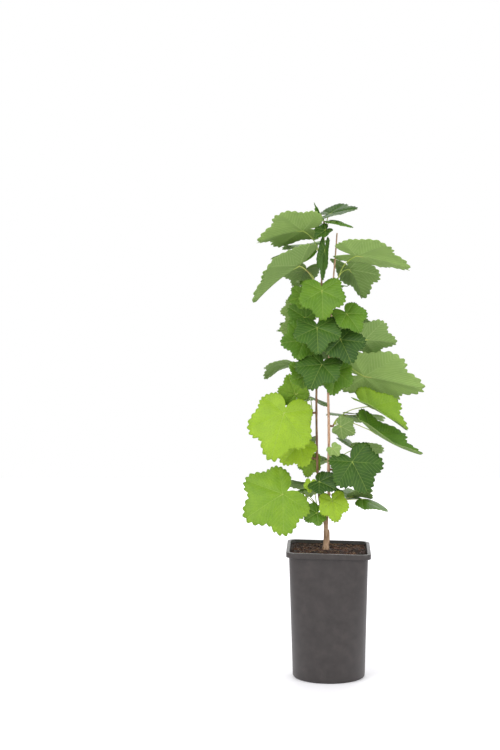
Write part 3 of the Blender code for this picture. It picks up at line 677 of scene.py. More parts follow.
@dataclass
class Pot:
    """The pot: a rounded square at the rim that turns into a circle at the foot."""

    height: float = 0.215
    base_radius: float = 0.060
    top_half: float = 0.0645
    top_corner: float = 0.012
    wall: float = 0.0012
    floor: float = 0.002
    round_margin: float = 0.0005  # the foot keeps flats this short on each side
    rim_half: float = 0.069
    rim_corner: float = 0.015
    rim_height: float = 0.0085
    rim_top: float = 0.0014
    rim_dip: float = 0.0018  # the soft rim is lower by this on the right, higher on the left
    chamfer: float = 0.0015
    corner_steps: int = 18
    wall_steps: int = 24
    drain_radius: float = 0.0045
    drain_ring: float = 0.043
    drains: int = 8
    drain_sides: int = 20
    crease: float = 40

    def dip(self, x: float, z: float) -> float:
        """How far the soft rim sags at a point."""
        return self.rim_dip * x / self.rim_half * (max(z, 0.0) / self.height) ** 2

    def ring(self, mesh: Mesh, half: float, corner: float, z: float) -> list:
        """Adds a rounded square of vertices.

        Args:
            mesh: the mesh it goes into.
            half: its half width.
            corner: the radius of its corners.
            z: its height, before the rim's dip.

        Returns:
            The vertices in order.
        """
        made = []
        for quarter in range(4):
            turn = math.radians(90 * quarter)
            for step in range(self.corner_steps + 1):
                angle = math.radians(90) * step / self.corner_steps
                x = half - corner + corner * math.cos(angle)
                y = half - corner + corner * math.sin(angle)
                px = x * math.cos(turn) - y * math.sin(turn)
                py = x * math.sin(turn) + y * math.cos(turn)
                made.append(mesh.verts.new((px, py, z - self.dip(px, z))))
        return made

    def section(self, z: float, inset: float = 0.0) -> tuple[float, float]:
        """The outer wall's section at a height.

        Args:
            z: the height.
            inset: how far inside the wall it lies.

        Returns:
            Its half width and the radius of its corners.
        """
        share = z / self.height
        half = mix(self.base_radius, self.top_half, share)
        corner = mix(self.base_radius - self.round_margin, self.top_corner, share)
        return half - inset, corner - inset

    def profile(self) -> list[tuple[float, float, float]]:
        """The sections of the whole pot.

        Returns:
            Half width, corner and height of each ring, from the inner floor to the underside.
        """
        top, thin = self.height, self.rim_top
        lip_low = top - self.rim_height
        half, corner = self.rim_half, self.rim_corner
        base_half, base_corner = self.section(0.0)
        wall = [lip_low + (self.chamfer * 2 - lip_low) * k / self.wall_steps
                for k in range(self.wall_steps + 1)]
        inside = [
            (*self.section(self.floor, self.wall), self.floor),
            (*self.section(top, self.wall), top - thin / 2),
            (*self.section(top, self.wall * 0.8), top - thin / 5),
            (*self.section(top, self.wall / 2), top),
        ]
        lip = [
            (half - thin, corner - thin / 2, top),
            (half - thin / 4, corner, top - thin / 5),
            (half, corner, top - thin * 0.7),
            (half, corner, lip_low + thin / 4),
            (half - thin / 4, corner, lip_low),
            (half - thin, corner - thin, lip_low),
            (half - thin, corner - thin, top - thin),
        ]
        foot = [
            (base_half - inset, base_corner - inset, z)
            for inset, z in ((self.chamfer * 0.3, self.chamfer * 0.7), (self.chamfer, 0.0))
        ]
        outside = [(*self.section(z), z) for z in (top - thin, *wall)]
        return [*inside, *lip, *outside, *foot]

    def build(self, look: Look) -> Thing:
        """Makes the whole pot.

        Args:
            look: its material.

        Returns:
            The pot.
        """
        mesh = bmesh.new()
        rings = [self.ring(mesh, *section) for section in self.profile()]
        for inner, outer in zip(rings, rings[1:]):
            bridge(mesh, outer, inner)
        cap(mesh, rings[0], LEVEL * self.floor, False)
        cap(mesh, rings[-1], Vector(), True)
        bmesh.ops.recalc_face_normals(mesh, faces=mesh.faces)
        pot = make_piece("nursery_pot", mesh, look)
        self.pierce(pot, look)
        pot.data.set_sharp_from_angle(angle=math.radians(self.crease))
        return pot

    def pierce(self, pot: Thing, look: Look) -> None:
        """Cuts the drain holes.

        Args:
            pot: the pot.
            look: its material.
        """
        holes = bmesh.new()
        for k in range(self.drains):
            spot = unit(FULL_TURN * (k + 0.5) / self.drains) * self.drain_ring
            path = [spot - LEVEL * self.floor, spot + LEVEL * 2 * self.floor]
            add_tube(holes, path, [self.drain_radius] * 2, self.drain_sides)
        bmesh.ops.recalc_face_normals(holes, faces=holes.faces)
        cutter = make_piece("drain_cutter", holes, look)
        modifier = pot.modifiers.new("drains", "BOOLEAN")
        modifier.operation, modifier.solver, modifier.object = "DIFFERENCE", "EXACT", cutter
        settle(pot, modifier)
        bpy.data.objects.remove(cutter)


@dataclass
class Soil:
    """Peat that fills the pot, with crumbs and fibres strewn over it by a seeded rule."""

    pot: Pot
    level: float = 0.2085
    mound: float = 0.004
    mound_place: tuple = (0.0, 0.025)
    mound_spread: tuple = (0.045, 0.030)
    roughness: float = 0.0022
    lump: float = 0.016
    octaves: tuple = ((1, 1.0), (2.3, 0.5), (7, 0.45), (16, 0.25))  # finer and lower each time
    patch: float = 0.2110  # the flat patch that the trunk stands on
    patch_radius: float = 0.010
    trunk_x: float = -0.0045
    rings: int = 70
    edge_margin: float = 0.004
    crumbs_per_m2: float = 90000.0
    crumb: float = 1.15 * MM
    crumb_sizes: tuple = ((0.4, 0.4, 0.4), (1.6, 1.5, 1.2))
    fibres: int = 70
    fibre_area: float = 0.054
    fibre_limit: float = 0.057
    fibre_lengths: tuple = (4 * MM, 13 * MM)
    fibre_radii: tuple = (0.12 * MM, 0.3 * MM)
    fibre_curl: float = 18
    fibre_points: int = 5
    seed: int = 5

    def height(self, x: float, y: float) -> float:
        """Height of the lumpy surface, level where the trunk stands.

        Args:
            x: the point's place to the right.
            y: its place to the back.

        Returns:
            The height.
        """
        here = Vector((x, y, 0))
        lumps = sum(share * noise.noise(here * fine / self.lump) for fine, share in self.octaves)
        (mx, my), (sx, sy) = self.mound_place, self.mound_spread
        behind = math.exp(-(((x - mx) / sx) ** 2) - ((y - my) / sy) ** 2)
        rough = self.level + self.roughness * lumps + self.mound * behind
        rough -= self.pot.dip(x, self.pot.height)
        away = math.hypot(x - self.trunk_x, y)
        return mix(self.patch, rough, clamp((away - self.patch_radius) / self.patch_radius))

    def surface(self, mesh: Mesh) -> list:
        """Adds the top surface.

        Args:
            mesh: the mesh it goes into.

        Returns:
            Its outermost ring.
        """
        outer = self.pot.ring(mesh, *self.pot.section(self.level, self.pot.wall + GAP), self.level)
        edge = [v.co.copy() for v in outer]
        for v in outer:
            v.co.z = self.height(v.co.x, v.co.y)
        last = outer
        for k in range(self.rings - 1, 0, -1):
            spots = [co * (k / self.rings) for co in edge]
            inner = [mesh.verts.new((p.x, p.y, self.height(p.x, p.y))) for p in spots]
            bridge(mesh, last, inner)
            last = inner
        cap(mesh, last, LEVEL * self.height(0, 0), False)
        return outer

    def build(self, look: Look) -> Thing:
        """Makes the filled body of soil.

        Args:
            look: its material.

        Returns:
            The soil.
        """
        mesh = bmesh.new()
        low = self.pot.floor + GAP
        outer = self.surface(mesh)
        foot = self.pot.ring(mesh, *self.pot.section(low, self.pot.wall + GAP), low)
        bridge(mesh, foot, outer)
        cap(mesh, foot, LEVEL * low, True)
        bmesh.ops.recalc_face_normals(mesh, faces=mesh.faces)
        return make_piece("peat_filling", mesh, look)

    def crumb_tree(self, look: Look) -> bpy.types.NodeTree:
        """Makes the Geometry Nodes tree that strews crumbs over a surface.

        Args:
            look: their material.

        Returns:
            The tree.
        """
        tree = bpy.data.node_groups.new("peat_crumbs", "GeometryNodeTree")
        for name, kind in (("Surface", "NodeSocketGeometry"), ("Density", "NodeSocketFloat"),
                           ("Crumb", "NodeSocketFloat"), ("Seed", "NodeSocketInt")):
            tree.interface.new_socket(name, in_out="INPUT", socket_type=kind)
        tree.interface.new_socket("Crumbs", in_out="OUTPUT", socket_type="NodeSocketGeometry")
        given = add_node(tree, "NodeGroupInput", out=None).outputs
        points = add_node(
            tree, "GeometryNodeDistributePointsOnFaces",
            {"Mesh": given["Surface"], "Density": given["Density"], "Seed": given["Seed"]},
            distribute_method="RANDOM")
        ball = add_node(tree, "GeometryNodeMeshIcoSphere",
                        {"Radius": given["Crumb"], "Subdivisions": 1})
        least, most = self.crumb_sizes
        size, turn = (
            add_node(tree, "FunctionNodeRandomValue", inputs, data_type="FLOAT_VECTOR")
            for inputs in ({0: least, 1: most, "Seed": given["Seed"]}, {1: (math.tau,) * 3}))
        strewn = add_node(tree, "GeometryNodeInstanceOnPoints",
                          {"Points": points, "Instance": ball, "Scale": size, "Rotation": turn})
        real = add_node(tree, "GeometryNodeRealizeInstances", {"Geometry": strewn})
        dressed = add_node(tree, "GeometryNodeSetMaterial", {"Geometry": real, "Material": look})
        add_node(tree, "NodeGroupOutput", {0: dressed}, out=None)
        return tree

    def crumbs(self, look: Look) -> Thing:
        """Strews the loose crumbs.

        Args:
            look: their material.

        Returns:
            The crumbs, as a plain mesh.
        """
        mesh = bmesh.new()
        self.surface(mesh)
        inside = self.pot.top_half - self.edge_margin
        far = [v for v in mesh.verts if max(abs(v.co.x), abs(v.co.y)) > inside
               or math.hypot(v.co.x - self.trunk_x, v.co.y) < self.patch_radius]
        bmesh.ops.delete(mesh, geom=far, context="VERTS")
        bed = make_piece("peat_crumbs", mesh, look)
        modifier = bed.modifiers.new("crumbs", "NODES")
        modifier.node_group = self.crumb_tree(look)
        values = {"Density": self.crumbs_per_m2, "Crumb": self.crumb, "Seed": self.seed}
        for item in modifier.node_group.interface.items_tree:
            if item.name in values:
                modifier[item.identifier] = values[item.name]
        settle(bed, modifier)
        return bed

    def strands(self, look: Look) -> Thing:
        """Lays short pale root fibres on the soil.

        Args:
            look: their material.

        Returns:
            The fibres.
        """
        rng = random.Random(self.seed)
        mesh = bmesh.new()
        area, limit, last = self.fibre_area, self.fibre_limit, self.fibre_points - 1
        for _ in range(self.fibres):
            x, y = (rng.uniform(-area, area) for _ in range(2))
            heading, length = rng.uniform(0, FULL_TURN), rng.uniform(*self.fibre_lengths)
            path = []
            for k in range(self.fibre_points):
                way = unit(heading + k * rng.uniform(-self.fibre_curl, self.fibre_curl))
                spot = Vector((x, y, 0)) + way * length * k / last
                spot.x, spot.y = (max(min(value, limit), -limit) for value in spot[:2])
                arch = (0.4 + 1.4 * math.sin(k / last * math.pi)) * MM
                spot.z = self.height(spot.x, spot.y) + arch
                path.append(spot)
            add_tube(mesh, path, [rng.uniform(*self.fibre_radii)] * self.fibre_points, 4)
        return make_piece("peat_fibres", mesh, look)


# The wood


@dataclass
class Wood:
    """The trunk with its stub, the two stems, and their buds."""

    foot: float = 0.2110 + GAP
    trunk_x: float = -0.0045
    flare: float = 0.0058
    radius: float = 0.0036
    crown: float = 0.0056
    stage_steps: int = 12
    stub_height: float = 0.033
    stub_radius: float = 0.0021
    stub_taper: float = 0.35
    stub_x: float = 0.0005
    sides: int = 20
    stub_sides: int = 12
    relief: float = 0.16
    stem_steps: int = 26
    node_swelling: float = 0.16
    node_length: float = 0.004
    bud_length: float = 3.6 * MM
    bud_rise: float = 0.020  # above the spur below it
    bud_lean: float = 0.38
    bud_width: float = 0.26
    bud_steps: int = 6
    bud_profile: tuple = (0.25, 0.97)  # of half a turn of a sine, from its foot to its point

    def trunk(self, look: Look) -> Thing:
        """Makes the short trunk with its flare and swollen crown, and the old cut stub beside it.

        Args:
            look: its bark.

        Returns:
            The trunk.
        """
        stages = ((0.00, self.flare, 0.0), (0.04, self.flare * 0.97, 0.0),
                  (0.14, self.radius * 1.25, 0.0001), (0.35, self.radius, 0.0002),
                  (0.62, self.radius * 0.97, 0.0004), (0.82, self.radius * 1.10, 0.0),
                  (0.93, self.crown * 0.93, -0.0004), (1.00, self.crown, -0.0006))
        path, radii = [], []
        for (a, low, lean), (b, high, after) in zip(stages, stages[1:]):
            for k in range(self.stage_steps):
                share = k / self.stage_steps
                path.append(Vector((self.trunk_x + mix(lean, after, share), 0,
                                    mix(self.foot, TRUNK_TOP, mix(a, b, share)))))
                radii.append(mix(low, high, share))
        path.append(Vector((self.trunk_x + stages[-1][2], 0, TRUNK_TOP)))
        radii.append(self.crown)
        mesh = bmesh.new()
        add_tube(mesh, path, radii, self.sides, True, self.relief)
        self.stub(mesh)
        return make_piece("trunk_and_stub", mesh, look)

    def stub(self, mesh: Mesh) -> None:
        """Adds the old stub.

        Args:
            mesh: the mesh it goes into.
        """
        route = ((self.trunk_x + 0.0012, -0.0008, self.foot + 0.004),
                 (self.stub_x - 0.0006, -0.0014, self.foot + 0.012),
                 (self.stub_x, -0.0016, self.foot + 0.024),
                 (self.stub_x - 0.0008, -0.0012, self.foot + self.stub_height))
        path = smooth_path(route, self.stage_steps)
        last = len(path) - 1
        radii = [self.stub_radius * (1.0 - self.stub_taper * i / last) for i in range(last + 1)]
        add_tube(mesh, path, radii, self.stub_sides, False, self.relief * 2)

    def stem(self, which: Stem, look: Look) -> Thing:
        """One stem, swollen where its spurs stand, with buds between them.

        Args:
            which: the stem.
            look: its bark.

        Returns:
            The piece.
        """
        path = smooth_path(STEM_ROUTES[which], self.stem_steps)
        scars = [mass.height for mass in MASSES if mass.stem is which]
        radii = []
        for point in path:
            near = min(abs(point.z - height) for height in scars)
            swelling = 1 + self.node_swelling * math.exp(-((near / self.node_length) ** 2))
            radii.append(stem_radius(which, point.z) * swelling)
        mesh = bmesh.new()
        add_tube(mesh, path, radii, self.sides, True, self.relief)
        rng = random.Random(which.value)
        for k, height in enumerate(sorted(scars)):
            spot = min(path, key=lambda p: abs(p.z - height - self.bud_rise))
            if spot.z < path[-1].z - self.bud_rise / 2:
                self.bud(mesh, which, spot, GOLDEN_ANGLE * k + rng.uniform(-20, 20))
        return make_piece(which.value + "_wood", mesh, look)

    def bud(self, mesh: Mesh, which: Stem, spot: Vector, bearing: float) -> None:
        """Adds a pointed bud that leans on its stem.

        Args:
            mesh: the mesh it goes into.
            which: the stem.
            spot: the point of the stem's axis that it stands at.
            bearing: the side of the stem that it stands on.
        """
        out = unit(bearing)
        start = spot + out * stem_radius(which, spot.z) * 0.8
        shares = [k / self.bud_steps for k in range(self.bud_steps + 1)]
        path = [start + (out * self.bud_lean + LEVEL) * self.bud_length * t for t in shares]
        thick = self.bud_length * self.bud_width
        radii = [thick * math.sin(math.pi * mix(*self.bud_profile, t)) for t in shares]
        add_tube(mesh, path, radii, 8)


# The rule that places the leaves, tried out on plain blades


class Blade:
    """A leaf's blade as a bent and folded surface, its midrib running from base to tip."""

    def __init__(self, leaf: Leaf) -> None:
        """Works out the blade's frame.

        Args:
            leaf: the leaf.
        """
        self.base = Vector(leaf.base)
        chord = Vector(leaf.tip) - self.base
        along = chord.normalized()
        up = unit(*leaf.faces)
        up = (up - along * up.dot(along)).normalized()
        self.breadth = leaf.breadth
        self.fold, self.bend = math.radians(leaf.fold), math.radians(leaf.droop)
        half = self.bend / 2
        self.forward = along * math.cos(half) + up * math.sin(half)
        self.normal = up * math.cos(half) - along * math.sin(half)
        self.left = self.normal.cross(self.forward)
        self.length = chord.length / (math.sin(half) * 2 / self.bend)

    def point(self, u: float, v: float, lift: float = 0.0) -> Vector:
        """A point of the blade.

        Args:
            u: the way along the midrib, as a share of the length.
            v: the way to its left, as a share of the length.
            lift: the height over the blade, as a share of the length.

        Returns:
            The point.
        """
        v *= self.breadth
        side, rise = v * math.cos(self.fold), abs(v) * math.sin(self.fold) + lift
        turn = self.bend * u
        along = math.sin(turn) / self.bend + rise * math.sin(turn)
        up = (math.cos(turn) - 1) / self.bend + rise * math.cos(turn)
        away = self.forward * along + self.left * side + self.normal * up
        return self.base + away * self.length

    def polar(self, angle: float, reach: float, lift: float = 0.0) -> Vector:
        """A point of the blade by its angle from the midrib, in degrees, and its reach."""
        turn = math.radians(angle)
        return self.point(reach * math.cos(turn), reach * math.sin(turn), lift)


@dataclass
class Crown:
    """The masses of leaves, grown by the same rule as the part's plain solids."""

    spur_radii: tuple = (0.0020, 0.0019, 0.0016)
    spur_run: float = 0.0040
    spur_rise: float = 0.0035
    spur_sides: int = 6
    stalk_radius: float = 0.0010
    stalk_tip: float = 0.6
    stalk_segments: int = 4
    stalk_lift: float = 0.9  # how steeply it leaves the spur
    stalk_arms: tuple = (0.30, 0.35)  # of its length, at the spur and at the blade
    stalk_bow: float = 0.35  # how far it turns into the midrib's way
    stalk_sunk: float = 0.12  # of the blade's length that the stalk runs on into the blade
    outline: tuple = ((0, 0.99), (17, 0.87), (31, 0.71), (46, 0.86), (64, 0.86), (88, 0.63),
                      (114, 0.68), (145, 0.48))  # angle from the midrib, and reach
    sinus: float = 0.08
    notches: tuple = (31, 88)
    side_vein: float = 57
    hub: float = 0.48
    thickness: float = 0.0135
    seed: int = 11
    tries: int = 60
    shrinks: tuple = (1.0, 0.85, 0.70, 0.55)
    spread: float = 18
    radius: float = 0.125
    fill_reach: tuple = (0.030, 0.060)
    fill_rise: tuple = (0.000, 0.030)
    fill_pitch: tuple = (-60, -10)
    fill_length: tuple = (0.042, 0.062)
    fill_face: tuple = (30, 70)
    fill_breadth: tuple = (0.85, 1.05)
    fill_fold: tuple = (-10, 25)
    fill_droop: tuple = (15, 45)

    def sheet(self, blade: Blade) -> tuple[Mesh, list[int]]:
        """The plain blade's upper side, with a fan of faces round a hub in each main lobe.

        Args:
            blade: the blade.

        Returns:
            The open sheet, and the indices of the vertices of its rim.
        """
        sheet = bmesh.new()
        right = [(-angle, reach) for angle, reach in reversed(self.outline[1:])]
        rim = [(-180, self.sinus), *right, *self.outline]
        ring = [sheet.verts.new(blade.polar(*spot)) for spot in rim]
        ring.append(ring[0])
        angles = [angle for angle, _ in rim] + [180]
        centre = sheet.verts.new(blade.polar(0, 0))
        notch, deep = self.notches
        hubs = [sheet.verts.new(blade.polar(angle, self.hub))
                for angle in (-self.side_vein, 0, self.side_vein)]
        sectors = ((-180, -deep, centre), (-deep, -notch, hubs[0]), (-notch, notch, hubs[1]),
                   (notch, deep, hubs[2]), (deep, 180, centre))
        for start, end, hub in sectors:
            points = [p for p, angle in zip(ring, angles) if start <= angle <= end]
            for a, b in zip(points, points[1:]):
                sheet.faces.new((hub, a, b))
            if hub is not centre:
                sheet.faces.new((centre, points[0], hub))
                sheet.faces.new((centre, hub, points[-1]))
        sheet.normal_update()
        sheet.verts.index_update()
        return sheet, [v.index for v in ring[:-1]]

    def plain_blade(self, leaf: Leaf) -> BVHTree:
        """The plain blade, a plate with the sheet as its upper side.

        Args:
            leaf: the leaf.

        Returns:
            Its search tree.
        """
        blade = Blade(leaf)
        sheet, edge = self.sheet(blade)
        solid = bmesh.new()
        depth = blade.length * self.thickness
        top = [solid.verts.new(v.co) for v in sheet.verts]
        under = [solid.verts.new(v.co - v.normal * depth) for v in sheet.verts]
        for face in sheet.faces:
            corners = [v.index for v in face.verts]
            solid.faces.new([top[i] for i in corners])
            solid.faces.new([under[i] for i in reversed(corners)])
        for i, j in zip(edge, edge[1:] + edge[:1]):
            solid.faces.new((top[i], under[i], under[j], top[j]))
        sheet.free()
        return self.tree_of(solid)

    @staticmethod
    def tree_of(mesh: Mesh) -> BVHTree:
        """Turns a bmesh into a search tree.

        Args:
            mesh: the mesh, which is freed.

        Returns:
            The tree.
        """
        tree = BVHTree.FromBMesh(mesh)
        mesh.free()
        return tree

    def plain_tube(self, path: list, radii: list, sides: int) -> BVHTree:
        """A plain tube.

        Args:
            path: the points of its axis.
            radii: its radius at each.
            sides: the sides of a section.

        Returns:
            Its search tree.
        """
        mesh = bmesh.new()
        add_tube(mesh, path, radii, sides)
        return self.tree_of(mesh)

    def spur_path(self, mass: Mass) -> list[Vector]:
        """The short spur that starts a hair clear of its stem and turns up.

        Args:
            mass: its mass.

        Returns:
            The points of its axis.
        """
        path = smooth_path(STEM_ROUTES[mass.stem], 3)
        i = min(range(1, len(path)), key=lambda k: abs(path[k].z - mass.height))
        low = i - 1 if path[i].z > mass.height else min(i, len(path) - 2)
        share = (mass.height - path[low].z) / (path[low + 1].z - path[low].z)
        on_axis = path[low].lerp(path[low + 1], share)
        along = (path[low + 1] - path[low]).normalized()
        out = unit(mass.bearing)
        out = (out - along * out.dot(along)).normalized()
        root = on_axis + out * (stem_radius(mass.stem, mass.height) + GAP)
        bend = root + out * self.spur_run
        return [root, bend, bend + out * self.spur_rise * 0.7 + LEVEL * self.spur_rise]

    def stalk_path(self, mass: Mass, leaf: Leaf, segments: int) -> list[Vector]:
        """The leaf's stalk, from inside the spur's end into the blade's midrib.

        Args:
            mass: the mass.
            leaf: the leaf.
            segments: how many pieces its curve is cut into.

        Returns:
            The points of its axis.
        """
        spur = self.spur_path(mass)
        start = spur[1].lerp(spur[2], 0.5)
        blade = Blade(leaf)
        base, way = blade.base, blade.base - start
        ahead, bow = way.normalized(), self.stalk_bow
        leaving, arriving = self.stalk_arms
        first = start + (ahead + LEVEL * self.stalk_lift) * way.length * leaving
        last = base - (blade.forward * bow + ahead * (1 - bow)) * way.length * arriving
        path = []
        for step in range(segments):
            t = step / segments
            path.append(start * (1 - t) ** 3 + first * 3 * t * (1 - t) ** 2
                        + last * 3 * t**2 * (1 - t) + base * t**3)
        under = blade.normal * blade.length * self.thickness / 2
        return [*path, base - under, blade.point(self.stalk_sunk, 0) - under]

    def plain_stalk(self, mass: Mass, leaf: Leaf) -> BVHTree:
        """The plain three-sided stalk.

        Args:
            mass: the mass.
            leaf: the leaf.

        Returns:
            Its search tree.
        """
        path = self.stalk_path(mass, leaf, self.stalk_segments)
        radii = [self.stalk_radius] * (len(path) - 1) + [self.stalk_radius * self.stalk_tip]
        return self.plain_tube(path, radii, 3)

    def in_space(self, mass: Mass, leaf: Leaf) -> bool:
        """Tells whether a blade keeps to the mass's own layer of the crown.

        Args:
            mass: the mass.
            leaf: the leaf.

        Returns:
            Whether it does.
        """
        blade = Blade(leaf)
        low, high = mass.reach
        spots = [blade.polar(angle * sign, reach)
                 for sign in (-1, 1) for angle, reach in (*self.outline, (180, self.sinus))]
        return all(low < p.z < high and math.hypot(p.x, p.y) < self.radius for p in spots)

    def fits(self, mass: Mass, leaf: Leaf, taken: list, confined: bool) -> bool:
        """Tries a leaf, and takes it in if it touches nothing that stands already.

        Args:
            mass: its mass.
            leaf: the leaf.
            taken: what stands: the owner, whether it is a blade or a limb, and its tree.
            confined: whether it has to keep to the mass's layer.

        Returns:
            Whether it was taken in.
        """
        blade, stalk = self.plain_blade(leaf), self.plain_stalk(mass, leaf)
        for owner, is_blade, tree in taken:
            if blade.overlap(tree) or ((owner != mass.name or is_blade) and stalk.overlap(tree)):
                return False
        inside = not confined or self.in_space(mass, leaf)
        if inside:
            taken += [(mass.name, True, blade), (mass.name, False, stalk)]
        return inside

    def seeded_leaf(self, spur: Vector, wanted: float, rng: random.Random) -> Leaf:
        """One try at a leaf that the rule adds.

        Args:
            spur: the spur's end.
            wanted: about the bearing to grow on.
            rng: the seeded generator.

        Returns:
            The leaf.
        """
        bearing = wanted + rng.uniform(-self.spread, self.spread)
        base = spur + unit(bearing) * rng.uniform(*self.fill_reach)
        base.z += rng.uniform(*self.fill_rise)
        heading = bearing + rng.uniform(-self.spread, self.spread)
        tip = base + unit(heading, rng.uniform(*self.fill_pitch)) * rng.uniform(*self.fill_length)
        return Leaf(tuple(base), tuple(tip), (bearing, rng.uniform(*self.fill_face)),
                    rng.uniform(*self.fill_breadth), rng.uniform(*self.fill_fold),
                    rng.uniform(*self.fill_droop))

    def first_that_fits(self, mass: Mass, tries: list, taken: list, confined: bool) -> list:
        """The first leaf of the tries that fits, in a list, or an empty list."""
        fitting = (leaf for leaf in tries if self.fits(mass, leaf, taken, confined))
        return [leaf for leaf in (next(fitting, None),) if leaf]

    def standing(self) -> list:
        """What stands before any leaf: the trunk, the stems and the spurs.

        Returns:
            For each its owner, whether it is a blade or a limb, and its search tree.
        """
        taken = []
        for name in ("trunk", *(stem.value for stem in Stem)):
            solid = bmesh.new()
            solid.from_mesh(bpy.data.objects[name].data)
            taken.append((name, True, self.tree_of(solid)))
        for mass in MASSES:
            spur = self.plain_tube(self.spur_path(mass), self.spur_radii, self.spur_sides)
            taken.append((mass.name, False, spur))
        return taken

    def grow(self) -> dict[str, list[Leaf]]:
        """Grows the designed leaves and then those of the rule.

        Returns:
            Every leaf by the name of its mass.
        """
        taken = self.standing()
        grown = {mass.name: [] for mass in MASSES}
        for mass in MASSES:
            for leaf in mass.leaves:
                base, tip = Vector(leaf.base), Vector(leaf.tip)
                tries = [leaf._replace(tip=tuple(base.lerp(tip, share))) for share in self.shrinks]
                grown[mass.name] += self.first_that_fits(mass, tries, taken, False)
        rng = random.Random(self.seed)
        for mass in MASSES:
            end = self.spur_path(mass)[-1]
            for wanted in mass.fill:
                tries = [self.seeded_leaf(end, wanted, rng) for _ in range(self.tries)]
                grown[mass.name] += self.first_that_fits(mass, tries, taken, True)
        return grown


# The leaves as they are seen


